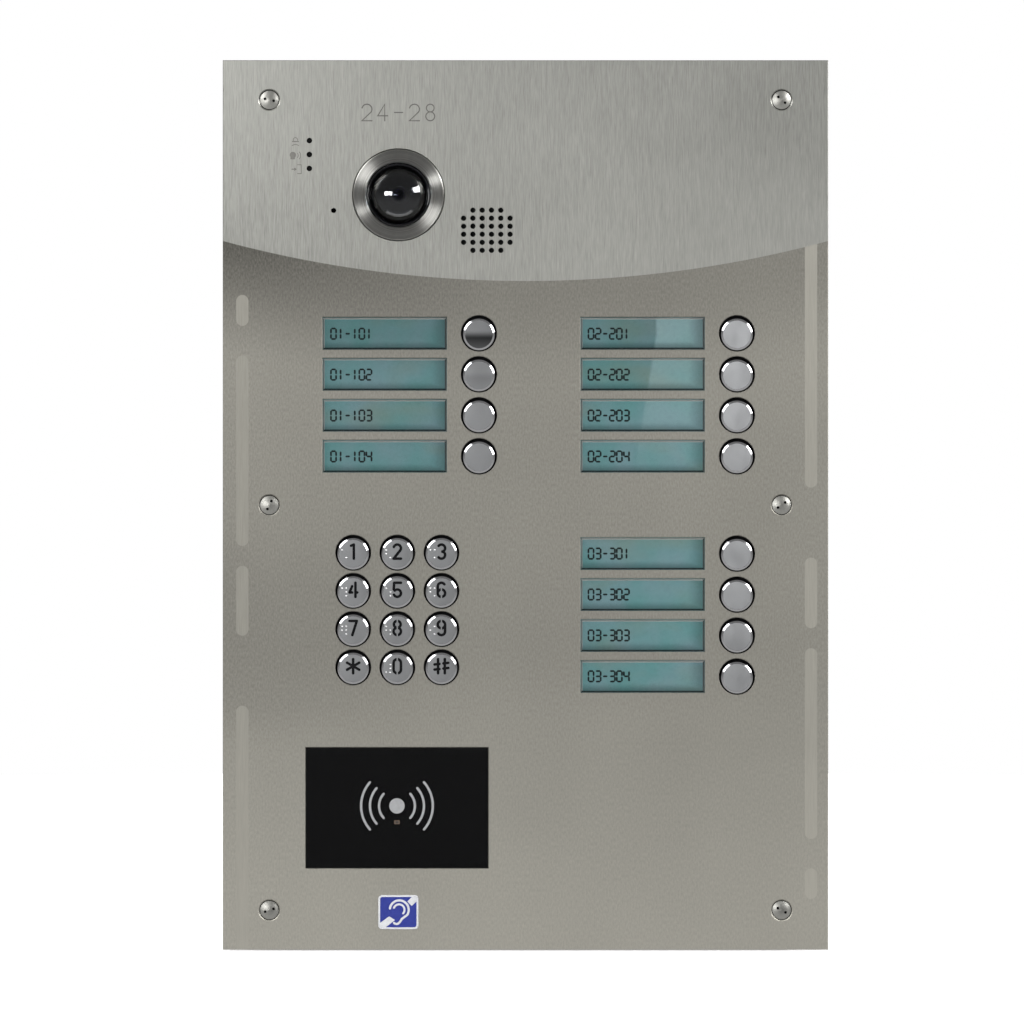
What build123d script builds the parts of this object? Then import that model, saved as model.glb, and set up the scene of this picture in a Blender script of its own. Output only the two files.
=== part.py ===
from build123d import *
import math
import os

# Flush-mounted door intercom panel.
# Frame: X across, Z up, the front faces -Y. The origin is the middle of the panel, on the wall plane.
# All lengths are in millimetres.

# ---- faceplate and what seals it to the wall ----
PANEL_W = 260.0
PANEL_H = 382.0
PLATE_T = 3.0
GASKET_T = 1.0
GASKET_BAND = 10.0
GASKET_INSET = 1.0
PLATE_BACK = -GASKET_T
PLATE_FRONT = PLATE_BACK - PLATE_T
EDGE_BREAK = 0.25
CROWN_FLAT = 0.25
GAP = 0.05                      # air left between two parts that bear on each other

# ---- security screws round the faceplate ----
SCREW_X = 110.0
SCREW_Z = 174.0
SCREW_SHANK_R = 1.95
SCREW_HEAD_R = 4.0
SCREW_SEAT_R = 4.75              # mouth of the countersink
SCREW_SINK = 0.6                 # the head's rim lies this far below the plate's face
SCREW_CROWN = 0.95
SCREW_END = 7.0
SCREW_PIT_R = 0.6
SCREW_PIT_OFFSET = 1.9
SCREW_TURNS = (18.0, 64.0, -12.0, 151.0, 35.0, -40.0)

# ---- call modules: four rows, each with a name display and a button ----
ROW_PITCH = 17.6
ROWS = (1.5, 0.5, -0.5, -1.5)
BLOCK_Z = 47.3
LEFT_WINDOW_X = -60.5
RIGHT_WINDOW_X = 50.3
BUTTON_OFFSET = 40.5
WINDOW_W = 53.4
WINDOW_H = 13.9
PANE_GAP = 0.15
PANE_SINK = 0.9                 # the pane's face lies this far below the plate's
PANE_CHAMFER = 0.75
PANE_FLANGE_W = 56.0
PANE_FLANGE_H = 16.0
PANE_BACK = 0.65
CELL_FRONT = PANE_BACK + 0.05
CELL_BACK = 2.5
LIGHT_BOX_BACK = 5.55
POCKET_GAP = 0.2
LIGHT_PORT_W = 48.0
LIGHT_PORT_H = 10.0
MODULES = (
    (LEFT_WINDOW_X, BLOCK_Z),
    (RIGHT_WINDOW_X, BLOCK_Z),
    (RIGHT_WINDOW_X, -BLOCK_Z),
)
MODULE_LEFT = -38.0
MODULE_RIGHT = 50.0
MODULE_H = 71.6
MODULE_STUD_X = (-33.5, 31.7)
MODULE_STUD_Z = ROW_PITCH

# ---- push caps (call buttons and keys) ----
BUTTON_R = 6.95
BUTTON_HOLE_R = 7.75
KEY_R = 6.9
KEY_HOLE_R = 7.65
CAP_DROP = 0.45                 # the caps hang this far below the middle of their holes
CAP_PROUD = 0.6
CAP_CHAMFER = 0.95
CAP_CHAMFER_DEPTH = 0.55
CAP_EDGE = 0.2                  # steeper outer part of the chamfer
CAP_CROWN = 0.12
CAP_FLANGE_T = 1.4
BUTTON_FLANGE_R = 9.2
BUTTON_FLANGE_HALF = 8.4
KEY_FLANGE_R = 8.9
KEY_FLANGE_HALF = 7.95
STEM_R = 4.0
STEM_END = 6.65
GUIDE_R = 4.08
GUIDE_RELIEF_R = 5.2
GUIDE_RELIEF_FRONT = 5.9

# ---- depth of the layers behind the faceplate ----
CARRIER_FRONT = 1.9
CARRIER_BACK = 8.3
MAT_T = 1.0
MAT_STRIP_W = 13.0
BOARD_T = 1.6
MAT_FRONT = CARRIER_BACK + GAP
BOARD_FRONT = MAT_FRONT + MAT_T + GAP
BOARD_BACK = BOARD_FRONT + BOARD_T
DOME_TOP = STEM_END + 0.1
READER_FLANGE_BACK = 1.05
READER_BOARD_BACK = READER_FLANGE_BACK + GAP + BOARD_T
HOUSING_EAR_FRONT = 1.1
HOUSING_EAR_BACK = 3.1
SPEAKER_EAR_BACK = 1.4
LIGHT_BOARD_FRONT = 6.0
LIGHT_BOARD_BACK = LIGHT_BOARD_FRONT + BOARD_T
LOOP_FRONT = PLATE_BACK + GAP
LOOP_BACK = 5.0

# ---- studs and nuts (M3) ----
STUD_R = 1.5
STUD_HOLE_R = 1.75
STUD_BOSS_R = 2.8
NUT_AF = 5.5
NUT_T = 2.4

# ---- keypad ----
KEYPAD_X = -55.05
KEYPAD_Z = -45.1
KEY_PITCH_X = 18.95
KEY_PITCH_Z = 16.4
KEY_NAMES = (
    ("1", "2", "3"),
    ("4", "5", "6"),
    ("7", "8", "9"),
    ("star", "0", "hash"),
)
KEYPAD_W = 74.0
KEYPAD_H = 67.0
KEYPAD_STUD_X = 33.5
KEYPAD_STUD_Z = KEY_PITCH_Z

# ---- key markings ----
DIGIT_W = 4.3
DIGIT_H = 7.2
STROKE = 1.15
STENCIL = 0.55                  # width of the bridges that hold the islands of a cut digit
DIGIT_UP = 0.5                  # marks are placed about the middle of the key's hole
DIGIT_DEPTH = 0.45
BRAILLE_X = (-4.75, -2.95)
BRAILLE_Z = (1.15, -0.5, -2.15)
BRAILLE_R = 0.42

# ---- camera ----
CAMERA_X = -54.5
CAMERA_Z = 133.2
BEZEL_R = 19.5
BEZEL_HOLE_R = 19.8
BEZEL_BORE_R = 13.9
BEZEL_PROUD = 0.6
BEZEL_FLANGE_R = 22.0
DOME_R = 13.2
DOME_WALL = 1.5
DOME_CENTRE_Y = 1.6
DOME_FLANGE_R = 16.8
DOME_FLANGE_FRONT = -1.9
DOME_FLANGE_BACK = -0.4
BEAD_R = 0.6                    # raised bead round the foot of the dome
BEAD_FOOT_Y = -2.6
BALL_R = 10.2
BALL_Y = 6.0
BALL_FLAT = 0.9                 # cut off the ball in front, round the lens
BALL_BACK = 6.5                 # the ball is cut off this far behind its centre
BALL_CHAMBER_R = 5.6
BALL_CHAMBER_FRONT = 2.0
RING_R = 12.9
RING_BORE_R = 10.8
RING_T = 5.0
TRUNNION_R = 1.1
TRUNNION_GAP = 0.06
HOUSING_BORE_R = 14.2
HOUSING_R = 18.0
HOUSING_BACK = 26.0
HOUSING_FLOOR_T = 2.0
HOUSING_CABLE_R = 4.0
HOUSING_FLANGE_R = 21.0
SOCKET_END = 16.2
PIN_END = 15.8
HOUSING_EAR_RADIUS = 25.0
HOUSING_EAR_ANGLES = (30.0, 150.0, 270.0)
LENS_R = 3.6
LENS_GLASS_R = 2.6
LENS_RIM = 0.3
LENS_CROWN = 0.7

# ---- loudspeaker and microphone ----
SPEAKER_X = -16.6
SPEAKER_Z = 118.0
GRILLE_N = 6
GRILLE_PITCH_X = 3.99
GRILLE_PITCH_Z = 3.45
GRILLE_R = 1.15
SPEAKER_R = 18.0
SPEAKER_EAR = 21.5
SPEAKER_EAR_FRONT = -0.6
SPEAKER_CONE_R = 14.8
SPEAKER_VENTS = 6
SPEAKER_VENT_R = 2.4
SPEAKER_VENT_CIRCLE = 14.2
MIC_X = -82.4
MIC_Z = 126.5
MIC_HOLE_R = 1.1
MIC_R = 3.0
MIC_FRONT = 0.3
MIC_BACK = 3.0
MIC_WIRE_R = 1.5
BOOT_R = 4.5
BOOT_BACK = 4.2

# ---- status lights ----
LIGHT_X = -92.8
LIGHT_ZS = (156.5, 150.5, 144.5)
LIGHT_HOLE_R = 1.2
LIGHT_R = 1.1
LIGHT_SINK = 0.3
LIGHT_COLLAR_R = 1.9
LIGHT_COLLAR_BACK = 0.6
LIGHT_PIPE_BACK = 4.8
LIGHT_BOARD_W = 10.0
LIGHT_BOARD_H = 33.0
LIGHT_STUD_Z = 13.0

# ---- badge reader ----
READER_X = -55.2
READER_Z = -130.1
READER_W = 78.2
READER_H = 51.6
READER_GAP = 0.2
READER_SINK = 0.1
READER_FLANGE = 3.5
ANTENNA_TURNS = 4
ANTENNA_W = 76.0
ANTENNA_H = 44.0
ANTENNA_PITCH = 2.5
ANTENNA_TRACK = 1.2
READER_BOARD_W = 100.0
READER_BOARD_H = 59.0
READER_STUD_X = 46.5
READER_STUD_Z = 26.0

# ---- hearing loop ----
LABEL_X = -54.6
LABEL_Z = -174.8
LABEL_W = 17.2
LABEL_H = 14.6
LABEL_T = 0.15
LOOP_X = 55.0
LOOP_Z = -130.0
LOOP_R = 28.0
LOOP_BAND = 6.0
LOOP_EAR_ANGLES = (90.0, 210.0, 330.0)

# ---- back box ----
BOX_W = 236.0
BOX_H = 358.0
BOX_BACK = 45.0
SHEET = 1.5
LUG_LENGTH = 14.5
LUG_H = 12.0
RIVET_R = 3.6
FIXING_X = 85.0
FIXING_Z = 150.0
FIXING_R = 2.75
CABLE_X = 75.0
CABLE_Z = 60.0
CABLE_R = 8.0
GROMMET_NECK_R = 11.9
GROMMET_LIP_R = 15.0
GROMMET_LIP_T = 2.0
KNOCKOUT_R = 10.0
KNOCKOUT_GROOVE = 0.8
KNOCKOUT_BRIDGE = 2.5
BOX_CORNER_R = 4.0
ANCHOR_REACH = 7.0
ANCHOR_H = 16.0
ANCHOR_Z = 110.0
RIB_X = 40.0
RIB_LENGTH = 240.0
RIB_W = 9.0
RIB_H = 0.8

# ---- main board ----
MAIN_X = -5.0
MAIN_Z = -80.0
MAIN_W = 140.0
MAIN_H = 120.0
MAIN_BACK = 36.0
MAIN_FRONT = MAIN_BACK - BOARD_T
STANDOFF_R = 3.0
CAPACITOR_R = 5.0
CAPACITOR_H = 11.0
TERMINAL_WAYS = 6
TERMINAL_PITCH = 5.0
TERMINAL_BANKS = 3
TERMINAL_BANK_PITCH = 36.0
TERMINAL_W = 11.0
TERMINAL_DEPTH = 12.0
TERMINAL_INSET = 4.0
PLUG_DX = -8.0
PLUG_W = 12.0
PLUG_H = 6.0
PLUG_DEPTH = 6.0
KEYPAD_PLUG = (KEYPAD_X + 10.0, KEYPAD_Z - 25.0)
MODULE_PLUG_DZ = -26.4
RIBBON_W = 10.0
RIBBON_T = 0.8
RIBBON_RUNS = (                 # X of the cable, Z of its plug, Z of its socket
    (LEFT_WINDOW_X + PLUG_DX, BLOCK_Z + MODULE_PLUG_DZ, -34.0),
    (RIGHT_WINDOW_X + PLUG_DX, BLOCK_Z + MODULE_PLUG_DZ, -34.0),
    (RIGHT_WINDOW_X + PLUG_DX, -BLOCK_Z + MODULE_PLUG_DZ, -100.0),
    (KEYPAD_PLUG[0], KEYPAD_PLUG[1], -40.0),
)


# ======================= building blocks =======================

def block(x0, x1, y0, y1, z0, z1):
    """A rectangular block between two corners."""
    centre = Pos((x0 + x1) / 2, (y0 + y1) / 2, (z0 + z1) / 2)
    return centre * Box(x1 - x0, y1 - y0, z1 - z0)


def rod(x, z, radius, y0, y1):
    """A round bar along Y."""
    return Pos(x, (y0 + y1) / 2, z) * Rot(90, 0, 0) * Cylinder(radius, y1 - y0)


def slab(sketch, y0, y1):
    """A sketch of X and Z, given thickness from y0 back to y1."""
    return extrude(Plane.XZ.offset(-y1) * sketch, amount=y1 - y0)


def turned(points, x, z):
    """A closed profile of radius and Y, turned about a line along Y."""
    profile = make_face(Polyline(*points, close=True))
    return Pos(x, 0, z) * revolve(profile, Axis.Y)


def crowned(radius, rim_y, height, outline):
    """Turning profile whose front is a spherical crown with a tiny flat on the axis.

    The outline carries on from the crown's rim, round the part, and back to the axis.
    """
    sphere = (radius ** 2 + height ** 2) / (2 * height)
    centre_y = rim_y - height + sphere

    def front(distance):
        return centre_y - math.sqrt(sphere ** 2 - distance ** 2)

    flat_y = front(CROWN_FLAT)
    arc = ThreePointArc((CROWN_FLAT, flat_y), (radius / 2, front(radius / 2)), (radius, rim_y))
    rest = Polyline((radius, rim_y), *outline, (0, flat_y), (CROWN_FLAT, flat_y))
    return make_face(Curve() + [arc, rest])


def polar(x, z, radius, angle):
    """The X and Z of a point on a circle."""
    turn = math.radians(angle)
    return x + radius * math.cos(turn), z + radius * math.sin(turn)


def save(name, shape):
    """Write one part to its own STEP file."""
    solids = Compound(label=name, children=list(shape.solids()))
    export_step(solids, os.path.join("parts", name + ".step"))


def group(shapes):
    """Separate solids held in one compound."""
    solids = []
    for shape in shapes:
        solids.extend(shape.solids())
    return Compound(children=solids)


# ======================= places that several parts share =======================

def row_centres():
    """X of the window and Z of the row, for every name display, module by module."""
    places = []
    for window_x, block_z in MODULES:
        for row in ROWS:
            places.append((window_x, block_z + row * ROW_PITCH))
    return places


def button_places(window_x, block_z):
    """X and Z of the four call buttons of one module."""
    x = window_x + BUTTON_OFFSET
    return [(x, block_z + row * ROW_PITCH - CAP_DROP) for row in ROWS]


def all_button_places():
    places = []
    for module in MODULES:
        places += button_places(*module)
    return places


def key_places():
    """Name, X and Z of each key."""
    places = []
    for row, names in enumerate(KEY_NAMES):
        for column, name in enumerate(names):
            x = KEYPAD_X + (column - 1) * KEY_PITCH_X
            z = KEYPAD_Z + (1.5 - row) * KEY_PITCH_Z - CAP_DROP
            places.append((name, x, z))
    return places


def above(places):
    """The middles of the holes that caps at these places hang in."""
    return [(x, z + CAP_DROP) for x, z in places]


def module_studs(window_x, block_z):
    """Studs that hold one call module."""
    places = []
    for dx in MODULE_STUD_X:
        for dz in (-MODULE_STUD_Z, MODULE_STUD_Z):
            places.append((window_x + dx, block_z + dz))
    return places


def corner_places(x, z, dx, dz):
    """Four corners of a rectangle about a centre."""
    return [(x + i * dx, z + j * dz) for i in (-1, 1) for j in (-1, 1)]


def keypad_studs():
    return corner_places(KEYPAD_X, KEYPAD_Z, KEYPAD_STUD_X, KEYPAD_STUD_Z)


def reader_studs():
    return corner_places(READER_X, READER_Z, READER_STUD_X, READER_STUD_Z)


def camera_studs():
    return [polar(CAMERA_X, CAMERA_Z, HOUSING_EAR_RADIUS, a) for a in HOUSING_EAR_ANGLES]


def speaker_studs():
    return [(SPEAKER_X, SPEAKER_Z - SPEAKER_EAR), (SPEAKER_X, SPEAKER_Z + SPEAKER_EAR)]


def light_studs():
    middle = LIGHT_ZS[1]
    return [(LIGHT_X, middle - LIGHT_STUD_Z), (LIGHT_X, middle + LIGHT_STUD_Z)]


def loop_studs():
    return [polar(LOOP_X, LOOP_Z, LOOP_R + 3.0, a) for a in LOOP_EAR_ANGLES]


def clamped_studs():
    """Every stud, with the Y where its nut bears."""
    places = []
    for module in MODULES:
        places += [(x, z, BOARD_BACK) for x, z in module_studs(*module)]
    places += [(x, z, BOARD_BACK) for x, z in keypad_studs()]
    places += [(x, z, READER_BOARD_BACK) for x, z in reader_studs()]
    places += [(x, z, HOUSING_EAR_BACK) for x, z in camera_studs()]
    places += [(x, z, SPEAKER_EAR_BACK) for x, z in speaker_studs()]
    places += [(x, z, LIGHT_BOARD_BACK) for x, z in light_studs()]
    places += [(x, z, LOOP_BACK) for x, z in loop_studs()]
    return places


def screw_places():
    return [(x, z) for x in (-SCREW_X, SCREW_X) for z in (-SCREW_Z, 0.0, SCREW_Z)]


def grille_places():
    """A square grid of holes without its four corners."""
    places = []
    middle = (GRILLE_N - 1) / 2
    for i in range(GRILLE_N):
        for j in range(GRILLE_N):
            if i in (0, GRILLE_N - 1) and j in (0, GRILLE_N - 1):
                continue
            x = SPEAKER_X + (i - middle) * GRILLE_PITCH_X
            z = SPEAKER_Z + (j - middle) * GRILLE_PITCH_Z
            places.append((x, z))
    return places


# ======================= faceplate =======================

def round_holes(places, radius):
    return Sketch() + [Pos(x, z) * Circle(radius) for x, z in places]


def faceplate_openings():
    """Everything that is cut right through the plate, with its front edge broken."""
    cuts = Sketch()
    cuts += [Pos(x, z) * Rectangle(WINDOW_W, WINDOW_H) for x, z in row_centres()]
    cuts += round_holes(above(all_button_places()), BUTTON_HOLE_R)
    cuts += round_holes(above([(x, z) for _, x, z in key_places()]), KEY_HOLE_R)
    cuts += round_holes([(CAMERA_X, CAMERA_Z)], BEZEL_HOLE_R)
    cuts += Pos(READER_X, READER_Z) * Rectangle(READER_W + 2 * READER_GAP, READER_H + 2 * READER_GAP)
    return cuts


def faceplate_pinholes():
    """Small plain holes: loudspeaker grille, microphone and status lights."""
    cuts = round_holes(grille_places(), GRILLE_R)
    cuts += round_holes([(MIC_X, MIC_Z)], MIC_HOLE_R)
    cuts += round_holes([(LIGHT_X, z) for z in LIGHT_ZS], LIGHT_HOLE_R)
    return cuts


def screw_seat(x, z):
    """Countersunk clearance hole for one security screw."""
    hole_r = SCREW_SHANK_R + 0.3
    seat_r = SCREW_SEAT_R
    outside = PLATE_FRONT - 1.0
    profile = (
        (0, outside),
        (seat_r, outside),
        (seat_r, PLATE_FRONT),
        (hole_r, PLATE_FRONT + seat_r - hole_r),
        (hole_r, PLATE_BACK + 1.0),
        (0, PLATE_BACK + 1.0),
    )
    return turned(profile, x, z)


def faceplate():
    """Stainless plate with its welded studs."""
    outline = Rectangle(PANEL_W, PANEL_H) - faceplate_openings()
    plate = slab(outline, PLATE_FRONT, PLATE_BACK)
    front_face = plate.faces().sort_by(Axis.Y)[0]
    plate = chamfer(front_face.edges(), EDGE_BREAK)
    plate -= slab(faceplate_pinholes(), PLATE_FRONT, PLATE_BACK)
    for x, z in screw_places():
        plate -= screw_seat(x, z)
    studs = [rod(x, z, STUD_R, PLATE_BACK, seat + NUT_T + 1.5) for x, z, seat in clamped_studs()]
    return plate + studs


def faceplate_gasket():
    """Flat seal between the plate's edge and the wall, outside the box."""
    outer = Rectangle(PANEL_W - 2 * GASKET_INSET, PANEL_H - 2 * GASKET_INSET)
    inner = Rectangle(
        PANEL_W - 2 * (GASKET_INSET + GASKET_BAND),
        PANEL_H - 2 * (GASKET_INSET + GASKET_BAND),
    )
    return slab(outer - inner, PLATE_BACK, 0.0)


def security_screw(x, z, turn):
    """Raised countersunk screw with a two-pit drive."""
    rim = PLATE_FRONT + SCREW_SINK
    cone_end = rim + SCREW_HEAD_R - SCREW_SHANK_R
    shank = ((SCREW_SHANK_R, cone_end), (SCREW_SHANK_R, SCREW_END), (0, SCREW_END))
    profile = crowned(SCREW_HEAD_R, rim, SCREW_CROWN, shank)
    screw = Pos(x, 0, z) * revolve(profile, Axis.Y)
    for side in (0.0, 180.0):
        px, pz = polar(x, z, SCREW_PIT_OFFSET, turn + side)
        screw -= rod(px, pz, SCREW_PIT_R, rim - SCREW_CROWN - 0.5, rim + 0.3)
    return screw


def faceplate_screws():
    places = zip(screw_places(), SCREW_TURNS)
    return group([security_screw(x, z, turn) for (x, z), turn in places])


def stud_nuts():
    """Hexagon nuts on the plate's studs."""
    radius = NUT_AF / math.sqrt(3)
    nuts = []
    for x, z, seat in clamped_studs():
        ring = Pos(x, z) * (RegularPolygon(radius, 6) - Circle(STUD_R + GAP))
        nuts.append(slab(ring, seat + GAP, seat + GAP + NUT_T))
    for x, z in main_board_corners():
        ring = Pos(x, z) * (RegularPolygon(radius, 6) - Circle(STUD_R + GAP))
        nuts.append(slab(ring, MAIN_FRONT - GAP - NUT_T, MAIN_FRONT - GAP))
    return group(nuts)


# ======================= push caps =======================

def cap_blank(x, z, radius, flange_r, flange_half):
    """Turned cap: crowned face, broken edge, retaining flange and guide stem."""
    face_y = PLATE_FRONT - CAP_PROUD
    face_r = radius - CAP_CHAMFER
    flange_front = PLATE_BACK + GAP
    flange_back = flange_front + CAP_FLANGE_T
    side = (
        (radius - CAP_EDGE, face_y + CAP_CHAMFER_DEPTH),
        (radius, face_y + CAP_CHAMFER_DEPTH + 2 * CAP_EDGE),
        (radius, flange_back),
        (STEM_R, flange_back),
        (STEM_R, STEM_END),
        (0, STEM_END),
    )
    profile = crowned(face_r, face_y, CAP_CROWN, side)
    body = Pos(x, 0, z) * revolve(profile, Axis.Y)
    flange = Circle(flange_r) & Rectangle(3 * flange_r, 2 * flange_half)
    return body + slab(Pos(x, z) * flange, flange_front, flange_back)


def call_button(x, z):
    return cap_blank(x, z, BUTTON_R, BUTTON_FLANGE_R, BUTTON_FLANGE_HALF)


def stroke(x0, z0, x1, z1):
    """A straight pen stroke with round ends."""
    length = math.hypot(x1 - x0, z1 - z0)
    angle = math.degrees(math.atan2(z1 - z0, x1 - x0))
    return Pos((x0 + x1) / 2, (z0 + z1) / 2) * Rot(0, 0, angle) * SlotCenterToCenter(length, STROKE)


def bow(x, z, rx, start, sweep):
    """A round pen stroke about a centre."""
    return SlotArc(CenterArc((x, z), rx, start, sweep), STROKE)


def digit_sketch(name):
    """One stencil character, drawn about its own middle."""
    w = (DIGIT_W - STROKE) / 2
    h = (DIGIT_H - STROKE) / 2
    bridge = Rectangle(STENCIL, 3 * DIGIT_H)
    top = h - w
    if name == "1":
        return stroke(0.3, -h, 0.3, h) + stroke(0.3, h, -0.9, h - 0.5)
    if name == "2":
        return bow(0, top, w, -35, 195) + stroke(w * 0.82, top - w * 0.57, -w, -h) + stroke(-w, -h, w, -h)
    if name == "3":
        return bow(0, top, w, -75, 215) + bow(0, -top, w, -140, 215)
    if name == "4":
        foot = -h * 0.38
        upright = 1.0
        arm_end = upright - STROKE - STENCIL / 2
        open_arm = stroke(-w, foot, arm_end, h * 0.5) + stroke(-w, foot, arm_end, foot)
        return open_arm + stroke(upright, -h, upright, h) + stroke(upright, foot, w + 0.2, foot)
    if name == "5":
        return (
            stroke(w, h, -w * 0.85, h)
            + stroke(-w * 0.85, h, -w * 0.95, 0.15)
            + bow(0, -h + w, w, -155, 290)
        )
    if name == "6":
        ring = bow(0, -h + w, w, 0, 359.9) - bridge
        return ring + stroke(-w, -h + w, -w, top) + bow(0, top, w, 35, 145)
    if name == "7":
        return stroke(-w, h, w, h) + stroke(w, h, -0.35, -h)
    if name == "8":
        upper = bow(0, h - w * 0.92, w * 0.92, 0, 359.9)
        lower = bow(0, -h + w, w, 0, 359.9)
        return upper + lower - bridge
    if name == "9":
        return Rot(0, 0, 180) * digit_sketch("6")
    if name == "0":
        sides = stroke(-w, -top, -w, top) + stroke(w, -top, w, top)
        return sides + (bow(0, top, w, 0, 180) + bow(0, -top, w, 180, 180)) - bridge
    if name == "star":
        arms = Sketch()
        for angle in (90, 30, -30):
            dx, dz = polar(0, 0, h, angle)
            arms += stroke(-dx, -dz, dx, dz)
        return arms
    gate = Sketch()
    slope = 0.12
    for side in (-1, 1):
        inner = side * (STROKE + STENCIL) / 2
        outer = side * 2.95
        upright = side * 1.45
        gate += stroke(upright, -h, upright, h)
        for level in (-1.1, 1.1):
            gate += stroke(inner, level + inner * slope, outer, level + outer * slope)
    return gate


BRAILLE_DOTS = {
    "1": "16", "2": "126", "3": "146", "4": "1456", "5": "156",
    "6": "1246", "7": "12456", "8": "1256", "9": "246", "0": "3456",
}


def braille_points(name):
    """Places of the raised dots of a cell: 1 to 3 down the left column, 4 to 6 down the right."""
    places = []
    for digit in BRAILLE_DOTS.get(name, ""):
        index = int(digit) - 1
        places.append((BRAILLE_X[index // 3], BRAILLE_Z[index % 3]))
    return places


def key(name, x, z):
    """A cap with its character cut into the face and raised dots at its left."""
    cap = cap_blank(x, z, KEY_R, KEY_FLANGE_R, KEY_FLANGE_HALF)
    face_y = PLATE_FRONT - CAP_PROUD
    middle = z + CAP_DROP
    mark = Pos(x, middle + DIGIT_UP) * digit_sketch(name)
    cap -= slab(mark, face_y - 1.0, face_y + DIGIT_DEPTH)
    for dx, dz in braille_points(name):
        cap += Pos(x + dx, face_y + GAP / 2, middle + dz) * Sphere(BRAILLE_R)
    return cap


# ======================= call modules =======================

def display_window(x, z):
    """Clear bevelled pane that fills the opening, with a flange behind the plate."""
    outline = Rectangle(WINDOW_W - 2 * PANE_GAP, WINDOW_H - 2 * PANE_GAP)
    flange = Rectangle(PANE_FLANGE_W, PANE_FLANGE_H)
    pane = slab(Pos(x, z) * outline, PLATE_FRONT + PANE_SINK, PLATE_BACK + GAP)
    pane = chamfer(pane.faces().sort_by(Axis.Y)[0].edges(), PANE_CHAMFER)
    return pane + slab(Pos(x, z) * flange, PLATE_BACK + GAP, PANE_BACK)


def display_panel(x, z):
    """Liquid crystal cell with the light box that shines through it."""
    outline = Pos(x, z) * Rectangle(PANE_FLANGE_W, PANE_FLANGE_H)
    cell = slab(outline, CELL_FRONT, CELL_BACK)
    light_box = slab(outline, CELL_BACK + GAP, LIGHT_BOX_BACK)
    return group([cell, light_box])


def module_outline(window_x, block_z):
    width = MODULE_RIGHT - MODULE_LEFT
    centre_x = window_x + (MODULE_LEFT + MODULE_RIGHT) / 2
    return Pos(centre_x, block_z) * RectangleRounded(width, MODULE_H, 2.0)


def guide_bore(x, z):
    """Bore that guides a cap's stem, widened at the back for the rubber dome."""
    relief = rod(x, z, GUIDE_RELIEF_R, GUIDE_RELIEF_FRONT, CARRIER_BACK)
    return rod(x, z, GUIDE_R, CARRIER_FRONT, CARRIER_BACK) + relief


def call_module_frame(window_x, block_z):
    """Moulded carrier: pockets for the displays, guide bores for the buttons, feet on the studs."""
    frame = slab(module_outline(window_x, block_z), CARRIER_FRONT, CARRIER_BACK)
    pocket = Rectangle(PANE_FLANGE_W + 2 * POCKET_GAP, PANE_FLANGE_H + 2 * POCKET_GAP)
    pocket_floor = LIGHT_BOX_BACK + GAP
    for row in ROWS:
        z = block_z + row * ROW_PITCH
        frame -= slab(Pos(window_x, z) * pocket, CARRIER_FRONT, pocket_floor)
        frame -= slab(Pos(window_x, z) * Rectangle(LIGHT_PORT_W, LIGHT_PORT_H), pocket_floor, CARRIER_BACK)
    for x, z in button_places(window_x, block_z):
        frame -= guide_bore(x, z)
    for x, z in module_studs(window_x, block_z):
        frame += rod(x, z, STUD_BOSS_R, PLATE_BACK + GAP, CARRIER_FRONT)
        frame -= rod(x, z, STUD_HOLE_R, PLATE_BACK, CARRIER_BACK)
    return frame


def rubber_dome(x, z):
    """Hollow cone that returns a cap and closes its contact."""
    outer = (
        (0, DOME_TOP),
        (2.6, DOME_TOP),
        (4.2, MAT_FRONT),
        (4.2, MAT_FRONT + MAT_T),
        (2.9, MAT_FRONT + MAT_T),
        (2.2, DOME_TOP + 1.1),
        (1.6, DOME_TOP + 1.1),
        (1.6, MAT_FRONT + 0.4),
        (0, MAT_FRONT + 0.4),
    )
    return turned(outer, x, z)


def dome_mat(outline, places, studs):
    """Silicone sheet with one dome per cap."""
    sheet = slab(outline, MAT_FRONT, MAT_FRONT + MAT_T)
    for x, z in places:
        sheet -= rod(x, z, 4.1, MAT_FRONT, MAT_FRONT + MAT_T)
        sheet += rubber_dome(x, z)
    for x, z in studs:
        sheet -= rod(x, z, STUD_HOLE_R, MAT_FRONT, MAT_FRONT + MAT_T)
    return sheet


def call_button_mat(window_x, block_z):
    strip = RectangleRounded(MAT_STRIP_W, MODULE_H - 1.0, 2.0)
    outline = Pos(window_x + BUTTON_OFFSET, block_z) * strip
    return dome_mat(outline, button_places(window_x, block_z), [])


def circuit_board(outline, studs, front):
    board = slab(outline, front, front + BOARD_T)
    for x, z in studs:
        board -= rod(x, z, STUD_HOLE_R, front, front + BOARD_T)
    return board


def chip(x, z, width, height, y0, y1):
    """A component body that stands on a board."""
    return block(x - width / 2, x + width / 2, y0, y1, z - height / 2, z + height / 2)


def plug(x, z):
    """Socket for a flat cable, at the back of a module's board."""
    return chip(x, z, PLUG_W, PLUG_H, BOARD_BACK, BOARD_BACK + PLUG_DEPTH)


def call_module_board(window_x, block_z):
    """Board behind a call module, with its controller, drivers and plug."""
    board = circuit_board(module_outline(window_x, block_z), module_studs(window_x, block_z), BOARD_FRONT)
    parts = [board, chip(window_x, block_z, 12.0, 12.0, BOARD_BACK, BOARD_BACK + 1.4)]
    for row in ROWS:
        z = block_z + row * ROW_PITCH
        parts.append(chip(window_x - 18.0, z, 8.0, 5.0, BOARD_BACK, BOARD_BACK + 1.2))
    parts.append(plug(window_x + PLUG_DX, block_z + MODULE_PLUG_DZ))
    return group(parts)


# ======================= keypad =======================

def keypad_outline():
    return Pos(KEYPAD_X, KEYPAD_Z) * RectangleRounded(KEYPAD_W, KEYPAD_H, 2.0)


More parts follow.
